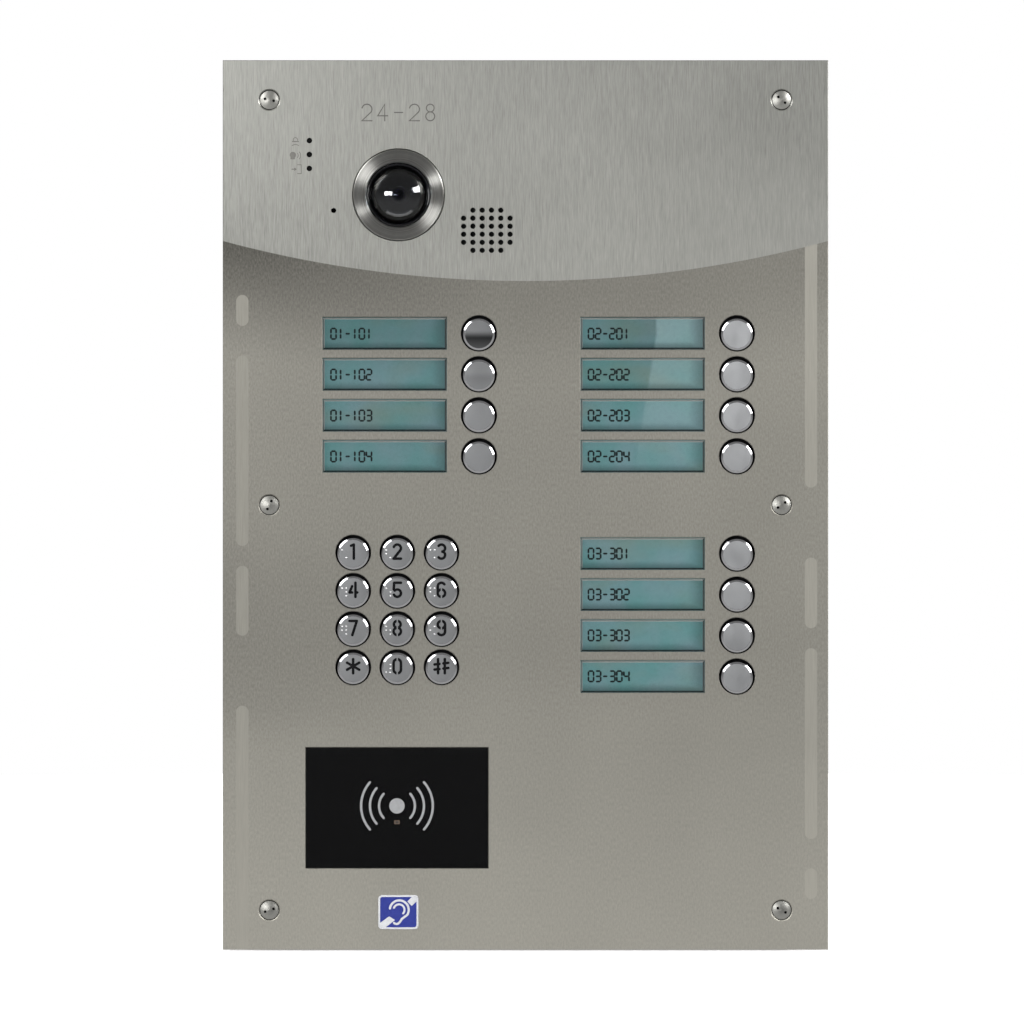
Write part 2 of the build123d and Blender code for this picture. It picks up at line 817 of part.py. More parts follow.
def keypad_frame():
    """Moulded carrier with a guide bore for each key."""
    frame = slab(keypad_outline(), CARRIER_FRONT, CARRIER_BACK)
    for _, x, z in key_places():
        frame -= guide_bore(x, z)
    for x, z in keypad_studs():
        frame += rod(x, z, STUD_BOSS_R, PLATE_BACK + GAP, CARRIER_FRONT)
        frame -= rod(x, z, STUD_HOLE_R, PLATE_BACK, CARRIER_BACK)
    return frame


def keypad_mat():
    places = [(x, z) for _, x, z in key_places()]
    return dome_mat(keypad_outline(), places, keypad_studs())


def keypad_board():
    board = circuit_board(keypad_outline(), keypad_studs(), BOARD_FRONT)
    controller = chip(KEYPAD_X, KEYPAD_Z + 12.0, 10.0, 10.0, BOARD_BACK, BOARD_BACK + 1.4)
    return group([board, controller, plug(*KEYPAD_PLUG)])


# ======================= camera =======================

def camera_bezel():
    """Turned ring with a flat face, a bore for the dome and a flange behind the plate."""
    front = PLATE_FRONT - BEZEL_PROUD
    flange_back = HOUSING_EAR_FRONT - GAP
    profile = (
        (BEZEL_BORE_R, front + 0.4),
        (BEZEL_BORE_R + 0.4, front),
        (BEZEL_R - 0.3, front),
        (BEZEL_R, front + 0.3),
        (BEZEL_R, PLATE_BACK + GAP),
        (BEZEL_FLANGE_R, PLATE_BACK + GAP),
        (BEZEL_FLANGE_R, flange_back),
        (DOME_FLANGE_R + 0.2, flange_back),
        (DOME_FLANGE_R + 0.2, DOME_FLANGE_FRONT - GAP),
        (BEZEL_BORE_R, DOME_FLANGE_FRONT - GAP),
    )
    return turned(profile, CAMERA_X, CAMERA_Z)


def circle_at(radius, centre_y, y):
    """Radius, at a given Y, of a sphere centred on the camera's axis."""
    return math.sqrt(radius ** 2 - (y - centre_y) ** 2)


def camera_dome():
    """Clear dome with a bead round its foot and a seating flange."""
    inner_r = DOME_R - DOME_WALL
    outer_end = circle_at(DOME_R, DOME_CENTRE_Y, BEAD_FOOT_Y)
    inner_end = circle_at(inner_r, DOME_CENTRE_Y, DOME_FLANGE_BACK)
    diagonal = math.sqrt(0.5)
    outer = ThreePointArc(
        (0, DOME_CENTRE_Y - DOME_R),
        (DOME_R * diagonal, DOME_CENTRE_Y - DOME_R * diagonal),
        (outer_end, BEAD_FOOT_Y),
    )
    bead = ThreePointArc(
        (outer_end, BEAD_FOOT_Y),
        (outer_end + BEAD_R, BEAD_FOOT_Y - BEAD_R),
        (outer_end + 2 * BEAD_R, BEAD_FOOT_Y),
    )
    rim = Polyline(
        (outer_end + 2 * BEAD_R, BEAD_FOOT_Y),
        (outer_end + 2 * BEAD_R, DOME_FLANGE_FRONT),
        (DOME_FLANGE_R, DOME_FLANGE_FRONT),
        (DOME_FLANGE_R, DOME_FLANGE_BACK),
        (inner_end, DOME_FLANGE_BACK),
    )
    inner = ThreePointArc(
        (inner_end, DOME_FLANGE_BACK),
        (inner_r * diagonal, DOME_CENTRE_Y - inner_r * diagonal),
        (0, DOME_CENTRE_Y - inner_r),
    )
    close = Line((0, DOME_CENTRE_Y - inner_r), (0, DOME_CENTRE_Y - DOME_R))
    profile = make_face(Curve() + [outer, bead, rim, inner, close])
    return Pos(CAMERA_X, 0, CAMERA_Z) * revolve(profile, Axis.Y)


def trunnions(direction, radius, inner, outer):
    """Two short pins on one line through the ball's centre."""
    pins = []
    turn = Rot(0, 90, 0) if direction == "X" else Rot(0, 0, 0)
    for side in (-1, 1):
        middle = side * (inner + outer) / 2
        offset = Pos(middle, 0, 0) if direction == "X" else Pos(0, 0, middle)
        pins.append(Pos(CAMERA_X, BALL_Y, CAMERA_Z) * offset * turn * Cylinder(radius, outer - inner))
    return pins


def housing_ear(x, z):
    """Lug of the housing's flange round one stud."""
    root_x = (x + CAMERA_X) / 2
    root_z = (z + CAMERA_Z) / 2
    angle = math.degrees(math.atan2(z - CAMERA_Z, x - CAMERA_X))
    middle = Pos((x + root_x) / 2, (z + root_z) / 2) * Rot(0, 0, angle)
    lobe = middle * SlotCenterToCenter(HOUSING_EAR_RADIUS / 2, 8.0)
    ear = slab(lobe, HOUSING_EAR_FRONT, HOUSING_EAR_BACK)
    return ear - rod(CAMERA_X, CAMERA_Z, HOUSING_R + 1.0, HOUSING_EAR_FRONT, HOUSING_EAR_BACK)


def camera_housing():
    """Black cup behind the dome, with sockets for the gimbal ring and ears for the studs."""
    nose_front = DOME_FLANGE_BACK + GAP
    profile = (
        (HOUSING_BORE_R, nose_front),
        (DOME_FLANGE_R, nose_front),
        (DOME_FLANGE_R, HOUSING_EAR_FRONT),
        (HOUSING_FLANGE_R, HOUSING_EAR_FRONT),
        (HOUSING_FLANGE_R, HOUSING_EAR_BACK),
        (HOUSING_R, HOUSING_EAR_BACK),
        (HOUSING_R, HOUSING_BACK),
        (HOUSING_CABLE_R, HOUSING_BACK),
        (HOUSING_CABLE_R, HOUSING_BACK - HOUSING_FLOOR_T),
        (HOUSING_BORE_R, HOUSING_BACK - HOUSING_FLOOR_T),
    )
    housing = turned(profile, CAMERA_X, CAMERA_Z)
    for x, z in camera_studs():
        housing += housing_ear(x, z)
        housing -= rod(x, z, STUD_HOLE_R, HOUSING_EAR_FRONT, HOUSING_EAR_BACK)
    for socket in trunnions("Z", TRUNNION_R + TRUNNION_GAP, HOUSING_BORE_R - 0.5, SOCKET_END):
        housing -= socket
    return housing


def camera_gimbal_ring():
    """Ring that pans about the upright pins and carries the ball on level ones."""
    ring = rod(CAMERA_X, CAMERA_Z, RING_R, BALL_Y - RING_T / 2, BALL_Y + RING_T / 2)
    ring -= rod(CAMERA_X, CAMERA_Z, RING_BORE_R, BALL_Y - RING_T / 2, BALL_Y + RING_T / 2)
    for pin in trunnions("Z", TRUNNION_R, RING_R - 0.6, PIN_END):
        ring += pin
    for socket in trunnions("X", TRUNNION_R + TRUNNION_GAP, RING_BORE_R - 0.5, RING_R + 0.5):
        ring -= socket
    return ring


def camera_ball():
    """Eyeball that tilts in the ring, bored for the lens and open at the back for its sensor."""
    front = BALL_Y - BALL_R
    chamber = BALL_Y + BALL_CHAMBER_FRONT
    ball = Pos(CAMERA_X, BALL_Y, CAMERA_Z) * Sphere(BALL_R)
    ball -= rod(CAMERA_X, CAMERA_Z, BALL_R, BALL_Y + BALL_BACK, BALL_Y + BALL_R)
    ball -= rod(CAMERA_X, CAMERA_Z, BALL_R, front, front + BALL_FLAT)
    ball -= rod(CAMERA_X, CAMERA_Z, LENS_R + GAP, front, chamber)
    ball -= rod(CAMERA_X, CAMERA_Z, BALL_CHAMBER_R, chamber, BALL_Y + BALL_R)
    for pin in trunnions("X", TRUNNION_R, BALL_R - 0.5, RING_R - 0.5):
        ball += pin
    return ball


def camera_lens():
    """Lens barrel with its crowned front glass and a smaller rear element."""
    front = BALL_Y - BALL_R + BALL_FLAT + LENS_RIM
    back = BALL_Y + BALL_CHAMBER_FRONT - 1.0
    barrel = (
        (LENS_GLASS_R + LENS_RIM, front - LENS_RIM),
        (LENS_R, front - LENS_RIM),
        (LENS_R, back),
        (0, back),
    )
    profile = crowned(LENS_GLASS_R, front, LENS_CROWN, barrel)
    return Pos(CAMERA_X, 0, CAMERA_Z) * revolve(profile, Axis.Y)


def camera_sensor_board():
    """Round sensor board at the back of the ball."""
    sensor_front = BALL_Y + BALL_CHAMBER_FRONT + 0.2
    board_front = sensor_front + 1.2
    board_back = board_front + 1.2
    sensor = chip(CAMERA_X, CAMERA_Z, 5.0, 4.0, sensor_front, board_front)
    board = rod(CAMERA_X, CAMERA_Z, BALL_CHAMBER_R - 0.2, board_front, board_back)
    socket = chip(CAMERA_X, CAMERA_Z, 6.0, 3.0, board_back, board_back + 1.6)
    return group([board, sensor, socket])


# ======================= sound =======================

def speaker_mesh():
    """Dust and insect screen behind the grille."""
    return rod(SPEAKER_X, SPEAKER_Z, SPEAKER_R - 0.5, PLATE_BACK + GAP, PLATE_BACK + 0.35)


def speaker_frame():
    """Pressed basket with vents and two ears for the studs."""
    profile = (
        (SPEAKER_CONE_R, SPEAKER_EAR_FRONT),
        (SPEAKER_R, SPEAKER_EAR_FRONT),
        (SPEAKER_R, SPEAKER_EAR_BACK),
        (16.2, SPEAKER_EAR_BACK),
        (12.4, 9.0),
        (8.0, 9.0),
        (8.0, 8.0),
        (11.6, 8.0),
        (SPEAKER_CONE_R, 2.2),
    )
    frame = turned(profile, SPEAKER_X, SPEAKER_Z)
    for vent in range(SPEAKER_VENTS):
        x, z = polar(SPEAKER_X, SPEAKER_Z, SPEAKER_VENT_CIRCLE, vent * 360 / SPEAKER_VENTS)
        frame -= rod(x, z, SPEAKER_VENT_R, 3.4, 9.5)
    mouth = rod(SPEAKER_X, SPEAKER_Z, SPEAKER_CONE_R, SPEAKER_EAR_FRONT, 3.0)
    for x, z in speaker_studs():
        inward = 1 if z < SPEAKER_Z else -1
        ear = Pos(x, z + inward * 2.0) * RectangleRounded(9.0, 11.0, 3.0)
        frame += slab(ear, SPEAKER_EAR_FRONT, SPEAKER_EAR_BACK) - mouth
        frame -= rod(x, z, STUD_HOLE_R, SPEAKER_EAR_FRONT, SPEAKER_EAR_BACK)
    return frame


def speaker_cone():
    """Paper cone with its half-round surround and dust cap."""
    profile = (
        (14.6, 0.4),
        (14.6, 0.8),
        (13.2, 0.8),
        (6.2, 6.2),
        (6.2, 7.6),
        (5.8, 7.6),
        (5.8, 5.9),
        (3.0, 5.0),
        (0, 4.7),
        (0, 4.3),
        (3.2, 4.6),
        (6.0, 5.4),
        (12.8, 0.4),
    )
    return turned(profile, SPEAKER_X, SPEAKER_Z)


def speaker_magnet():
    """Ferrite ring between two steel plates, with the pole in the middle."""
    profile = (
        (0, 7.2),
        (5.4, 7.2),
        (5.4, 12.0),
        (6.6, 12.0),
        (6.6, 9.05),
        (11.0, 9.05),
        (11.0, 16.0),
        (0, 16.0),
    )
    return turned(profile, SPEAKER_X, SPEAKER_Z)


def microphone():
    """Electret capsule."""
    return rod(MIC_X, MIC_Z, MIC_R, MIC_FRONT, MIC_BACK)


def microphone_boot():
    """Rubber boot that seals the capsule to its hole."""
    boot = rod(MIC_X, MIC_Z, BOOT_R, PLATE_BACK + GAP, BOOT_BACK)
    boot -= rod(MIC_X, MIC_Z, MIC_HOLE_R, PLATE_BACK, MIC_FRONT)
    boot -= rod(MIC_X, MIC_Z, MIC_R + GAP, MIC_FRONT - GAP, MIC_BACK + GAP)
    return boot - rod(MIC_X, MIC_Z, MIC_WIRE_R, MIC_BACK, BOOT_BACK)


# ======================= status lights =======================

def indicator_light_pipes():
    """Moulded light guides, one per status hole, each with a collar behind the plate."""
    pipes = []
    for z in LIGHT_ZS:
        collar = rod(LIGHT_X, z, LIGHT_COLLAR_R, PLATE_BACK + GAP, LIGHT_COLLAR_BACK)
        pipes.append(rod(LIGHT_X, z, LIGHT_R, PLATE_FRONT + LIGHT_SINK, LIGHT_PIPE_BACK) + collar)
    return group(pipes)


def indicator_board():
    outline = Pos(LIGHT_X, LIGHT_ZS[1]) * RectangleRounded(LIGHT_BOARD_W, LIGHT_BOARD_H, 1.5)
    board = circuit_board(outline, light_studs(), LIGHT_BOARD_FRONT)
    lamps = [chip(LIGHT_X, z, 2.0, 1.4, LIGHT_BOARD_FRONT - 0.9, LIGHT_BOARD_FRONT) for z in LIGHT_ZS]
    return group([board] + lamps)


# ======================= badge reader and hearing loop =======================

def reader_window():
    """Black acrylic window, flush with the plate, with a flange behind it."""
    pane = Pos(READER_X, READER_Z) * Rectangle(READER_W, READER_H)
    flange = Pos(READER_X, READER_Z) * Rectangle(READER_W + 2 * READER_FLANGE, READER_H + 2 * READER_FLANGE)
    front = slab(pane, PLATE_FRONT + READER_SINK, PLATE_BACK + GAP)
    front = chamfer(front.faces().sort_by(Axis.Y)[0].edges(), EDGE_BREAK / 2)
    return front + slab(flange, PLATE_BACK + GAP, READER_FLANGE_BACK)


def reader_antenna_board():
    """Antenna board that clamps the window, with its coil tracks and controller."""
    front = READER_FLANGE_BACK + GAP
    outline = Pos(READER_X, READER_Z) * RectangleRounded(READER_BOARD_W, READER_BOARD_H, 2.0)
    board = circuit_board(outline, reader_studs(), front)
    back = front + BOARD_T
    parts = [board]
    for turn in range(ANTENNA_TURNS):
        width = ANTENNA_W - 2 * ANTENNA_PITCH * turn
        height = ANTENNA_H - 2 * ANTENNA_PITCH * turn
        track = Rectangle(width, height) - Rectangle(width - 2 * ANTENNA_TRACK, height - 2 * ANTENNA_TRACK)
        parts.append(slab(Pos(READER_X, READER_Z) * track, back, back + 0.2))
    parts.append(chip(READER_X, READER_Z, 10.0, 10.0, back, back + 1.4))
    parts.append(chip(READER_X + 19.0, READER_Z, 6.0, 12.0, back, back + 6.0))
    return group(parts)


def hearing_loop_coil():
    """Potted copper coil with three ears for its studs."""
    ring = Pos(LOOP_X, LOOP_Z) * (Circle(LOOP_R) - Circle(LOOP_R - LOOP_BAND))
    coil = slab(ring, LOOP_FRONT, LOOP_BACK)
    for x, z in loop_studs():
        coil += rod(x, z, 4.2, LOOP_FRONT, LOOP_BACK)
    for x, z in loop_studs():
        coil -= rod(x, z, STUD_HOLE_R, LOOP_FRONT, LOOP_BACK)
    return coil


def hearing_loop_label():
    """Thin sticker on the plate's face."""
    outline = Pos(LABEL_X, LABEL_Z) * RectangleRounded(LABEL_W, LABEL_H, 1.6)
    return slab(outline, PLATE_FRONT - LABEL_T, PLATE_FRONT)


# ======================= main board and wiring =======================

def main_board_corners():
    return corner_places(MAIN_X, MAIN_Z, MAIN_W / 2 - 4.0, MAIN_H / 2 - 4.0)


def main_board():
    """Controller and amplifier board, with its chips, capacitors, relay and network socket."""
    outline = Pos(MAIN_X, MAIN_Z) * RectangleRounded(MAIN_W, MAIN_H, 3.0)
    parts = [circuit_board(outline, main_board_corners(), MAIN_FRONT)]
    left = MAIN_X - MAIN_W / 2
    top = MAIN_Z + MAIN_H / 2
    bodies = (                      # from the left edge, from the top edge, width, height, depth
        (45.0, 40.0, 24.0, 24.0, 2.2),
        (45.0, 78.0, 18.0, 14.0, 1.6),
        (80.0, 36.0, 14.0, 14.0, 1.6),
        (24.0, 60.0, 10.0, 16.0, 1.6),
        (82.0, 92.0, 19.0, 15.5, 15.0),
        (22.0, 100.0, 16.0, 21.0, 13.5),
    )
    for dx, dz, width, height, depth in bodies:
        parts.append(chip(left + dx, top - dz, width, height, MAIN_FRONT - depth, MAIN_FRONT))
    for dx, dz in ((70.0, 62.0), (84.0, 62.0), (70.0, 76.0)):
        parts.append(rod(left + dx, top - dz, CAPACITOR_R, MAIN_FRONT - CAPACITOR_H, MAIN_FRONT))
    for x, _, z in RIBBON_RUNS:
        parts.append(chip(x, z, PLUG_W, PLUG_H, MAIN_FRONT - PLUG_DEPTH, MAIN_FRONT))
    return group(parts)


def terminal_blocks():
    """Screw terminals for the door wiring, along the right edge of the main board."""
    right = MAIN_X + MAIN_W / 2
    outer = right - TERMINAL_INSET
    front = MAIN_FRONT - TERMINAL_DEPTH
    blocks = []
    for bank in range(TERMINAL_BANKS):
        z0 = MAIN_Z - 51.0 + bank * TERMINAL_BANK_PITCH
        length = TERMINAL_WAYS * TERMINAL_PITCH
        body = block(outer - TERMINAL_W, outer, front, MAIN_FRONT, z0, z0 + length)
        for way in range(TERMINAL_WAYS):
            z = z0 + (way + 0.5) * TERMINAL_PITCH
            body -= rod(outer - 6.0, z, 1.7, front, front + 4.0)
            body -= block(outer - 4.0, outer, front + 5.0, front + 8.5, z - 1.6, z + 1.6)
        blocks.append(body)
    return group(blocks)


def ribbon(x, plug_z, socket_z):
    """A flat cable that runs back from a module's plug to a socket on the main board."""
    start = (BOARD_BACK + PLUG_DEPTH + GAP, plug_z)
    end = (MAIN_FRONT - PLUG_DEPTH - GAP, socket_z)
    middle = ((start[0] + end[0]) / 2, (plug_z + socket_z) / 2)
    path = Spline(start, middle, end, tangents=[(1, 0), (1, 0)])
    strip = trace(path, line_width=RIBBON_T)
    return extrude(Plane.YZ.offset(x - RIBBON_W / 2) * strip, amount=RIBBON_W)


def wiring_looms():
    return group([ribbon(*run) for run in RIBBON_RUNS])


def cable_grommet():
    """Rubber ring in the box's cable hole, grooved for the sheet."""
    inside = BOX_BACK - SHEET
    profile = (
        (CABLE_R, inside - GROMMET_LIP_T),
        (GROMMET_LIP_R, inside - GROMMET_LIP_T),
        (GROMMET_LIP_R, inside - GAP),
        (GROMMET_NECK_R, inside - GAP),
        (GROMMET_NECK_R, BOX_BACK + GAP),
        (GROMMET_LIP_R, BOX_BACK + GAP),
        (GROMMET_LIP_R - 0.8, BOX_BACK + GROMMET_LIP_T),
        (CABLE_R, BOX_BACK + GROMMET_LIP_T),
    )
    return turned(profile, CABLE_X, CABLE_Z)


# ======================= back box =======================

def lug(x, z):
    """Folded tab with a rivet nut that takes one faceplate screw."""
    side = 1 if x > 0 else -1
    wall = side * (BOX_W / 2 - SHEET / 2)
    tip = side * (BOX_W / 2 - LUG_LENGTH)
    front = PLATE_BACK + GAP
    tab = block(min(wall, tip), max(wall, tip), front, front + SHEET, z - LUG_H / 2, z + LUG_H / 2)
    return tab + rod(x, z, RIVET_R, front, SCREW_END + 1.0)


def knockout(place, turn):
    """Scored ring that frees a disc for a conduit."""
    depth = 2 * KNOCKOUT_GROOVE
    groove = Cylinder(KNOCKOUT_R, depth) - Cylinder(KNOCKOUT_R - KNOCKOUT_GROOVE, depth)
    groove -= Box(KNOCKOUT_BRIDGE, 3 * KNOCKOUT_R, depth)
    return place * turn * groove


def knockouts():
    """One scored disc near each end of all four sides."""
    depth = BOX_BACK / 2
    cuts = []
    for side in (-1, 1):
        for dz in (-60.0, 60.0):
            cuts.append(knockout(Pos(side * BOX_W / 2, depth, dz), Rot(0, 90, 0)))
        for dx in (-50.0, 50.0):
            cuts.append(knockout(Pos(dx, depth, side * BOX_H / 2), Rot(0, 0, 90)))
    return cuts


def anchor_tabs():
    """Tabs bent out of the sides to key into the plaster."""
    tabs = []
    for side in (-1, 1):
        inner = side * (BOX_W / 2 - SHEET / 2)
        outer = side * (BOX_W / 2 + ANCHOR_REACH)
        for z in (-ANCHOR_Z, ANCHOR_Z):
            y = BOX_BACK / 2
            x0, x1 = min(inner, outer), max(inner, outer)
            tabs.append(block(x0, x1, y, y + SHEET, z - ANCHOR_H / 2, z + ANCHOR_H / 2))
    return tabs


def back_box():
    """Folded steel box that is built into the wall."""
    outer = RectangleRounded(BOX_W, BOX_H, BOX_CORNER_R)
    inner = RectangleRounded(BOX_W - 2 * SHEET, BOX_H - 2 * SHEET, BOX_CORNER_R - SHEET)
    floor = BOX_BACK - SHEET
    box = slab(outer, PLATE_BACK, BOX_BACK) - slab(inner, PLATE_BACK, floor)
    box += anchor_tabs()
    envelope = slab(outer, PLATE_BACK, BOX_BACK)
    for x, z in screw_places():
        box += lug(x, z) & envelope
    for x, z in screw_places():
        box -= rod(x, z, SCREW_SHANK_R + 0.06, PLATE_BACK, SCREW_END + 1.5)
    for x, z in main_board_corners():
        box += rod(x, z, STANDOFF_R, MAIN_BACK + GAP, floor)
        box += rod(x, z, STUD_R, MAIN_FRONT - NUT_T - 1.5, floor)
    for x in (-RIB_X, RIB_X):
        rib = Pos(x, 0) * Rot(0, 0, 90) * SlotOverall(RIB_LENGTH, RIB_W)
        box += slab(rib, BOX_BACK, BOX_BACK + RIB_H)
    for x, z in corner_places(0.0, 0.0, FIXING_X, FIXING_Z):
        box -= rod(x, z, FIXING_R, floor, BOX_BACK)
    box -= rod(CABLE_X, CABLE_Z, GROMMET_NECK_R + GAP, floor, BOX_BACK)
    for cut in knockouts():
        box -= cut
    return box


# ======================= all parts =======================

def all_parts():
    """Name and shape of every part."""
    parts = {
        "faceplate": faceplate(),
        "faceplate_screws": faceplate_screws(),
        "faceplate_gasket": faceplate_gasket(),
        "stud_nuts": stud_nuts(),
        "display_windows": group([display_window(x, z) for x, z in row_centres()]),
        "display_panels": group([display_panel(x, z) for x, z in row_centres()]),
        "call_module_frames": group([call_module_frame(*place) for place in MODULES]),
        "call_button_mats": group([call_button_mat(*place) for place in MODULES]),
        "call_module_boards": group([call_module_board(*place) for place in MODULES]),
        "keypad_frame": keypad_frame(),
        "keypad_mat": keypad_mat(),
        "keypad_board": keypad_board(),
        "camera_bezel": camera_bezel(),
        "camera_dome": camera_dome(),
        "camera_housing": camera_housing(),
        "camera_gimbal_ring": camera_gimbal_ring(),
        "camera_ball": camera_ball(),
        "camera_lens": camera_lens(),
        "camera_sensor_board": camera_sensor_board(),
        "speaker_mesh": speaker_mesh(),
        "speaker_frame": speaker_frame(),
        "speaker_cone": speaker_cone(),
        "speaker_magnet": speaker_magnet(),
        "microphone": microphone(),
        "microphone_boot": microphone_boot(),
        "indicator_light_pipes": indicator_light_pipes(),
        "indicator_board": indicator_board(),
        "reader_window": reader_window(),
        "reader_antenna_board": reader_antenna_board(),
        "hearing_loop_coil": hearing_loop_coil(),
        "hearing_loop_label": hearing_loop_label(),
        "main_board": main_board(),
        "terminal_blocks": terminal_blocks(),
        "wiring_looms": wiring_looms(),
        "cable_grommet": cable_grommet(),
        "back_box": back_box(),
    }
    for number, (x, z) in enumerate(all_button_places(), start=1):
        parts[f"call_button_{number:02d}"] = call_button(x, z)
    for name, x, z in key_places():
        parts["key_" + name] = key(name, x, z)
    return parts


os.makedirs("parts", exist_ok=True)
for part_name, part_shape in all_parts().items():
    save(part_name, part_shape)
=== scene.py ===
import math

import bmesh
import bpy
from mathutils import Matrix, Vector


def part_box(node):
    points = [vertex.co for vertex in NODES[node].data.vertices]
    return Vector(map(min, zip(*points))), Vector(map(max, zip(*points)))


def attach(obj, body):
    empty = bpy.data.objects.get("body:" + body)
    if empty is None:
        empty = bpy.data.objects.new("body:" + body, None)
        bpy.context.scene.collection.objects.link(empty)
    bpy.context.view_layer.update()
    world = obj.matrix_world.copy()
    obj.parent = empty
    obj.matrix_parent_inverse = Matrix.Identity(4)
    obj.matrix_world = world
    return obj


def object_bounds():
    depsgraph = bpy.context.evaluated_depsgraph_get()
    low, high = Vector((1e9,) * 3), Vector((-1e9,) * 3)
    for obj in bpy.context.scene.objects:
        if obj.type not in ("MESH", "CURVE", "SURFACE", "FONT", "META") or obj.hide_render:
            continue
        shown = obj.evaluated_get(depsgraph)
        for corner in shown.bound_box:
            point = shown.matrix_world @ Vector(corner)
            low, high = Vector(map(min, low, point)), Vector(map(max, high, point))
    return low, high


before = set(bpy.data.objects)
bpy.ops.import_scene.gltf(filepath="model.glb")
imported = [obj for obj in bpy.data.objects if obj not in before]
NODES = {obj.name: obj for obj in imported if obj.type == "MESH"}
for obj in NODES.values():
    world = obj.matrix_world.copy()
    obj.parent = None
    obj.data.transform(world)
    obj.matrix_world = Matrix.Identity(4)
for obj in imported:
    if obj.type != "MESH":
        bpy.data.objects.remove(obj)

# Door intercom panel: finishes, printed and etched marks, display characters, studio.
# Metres throughout; MM turns a length in millimetres into metres.

MM = 0.001
CAD_BOX = [list(corner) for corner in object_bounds()]

PLATE_LOW, PLATE_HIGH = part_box("faceplate")
PLATE_W = PLATE_HIGH.x - PLATE_LOW.x
PLATE_H = PLATE_HIGH.z - PLATE_LOW.z
PLATE_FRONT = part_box("hearing_loop_label")[1].y
FILM = 0.03 * MM                 # thickness of a printed mark
CAP_DROP = 0.45 * MM             # the caps hang this far below the middles of their holes and windows

BUTTONS = sorted(name for name in NODES if name.startswith("call_button_") and name[-2:].isdigit())
KEYS = sorted(name for name in NODES if name.startswith("key_"))


def centre(node):
    low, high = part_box(node)
    return (low + high) / 2


def rows_and_banks():
    """Height of the top row of each group, the pitch of the rows, and X of the two banks of call buttons."""
    middles = [centre(name) for name in BUTTONS]
    banks = sorted({round(middle.x, 4) for middle in middles})
    heights = sorted({round(middle.z, 4) for middle in middles}, reverse=True)
    pitch = heights[0] - heights[1]
    return heights[0], heights[4], pitch, banks[0], banks[1]


# ======================= shader building =======================

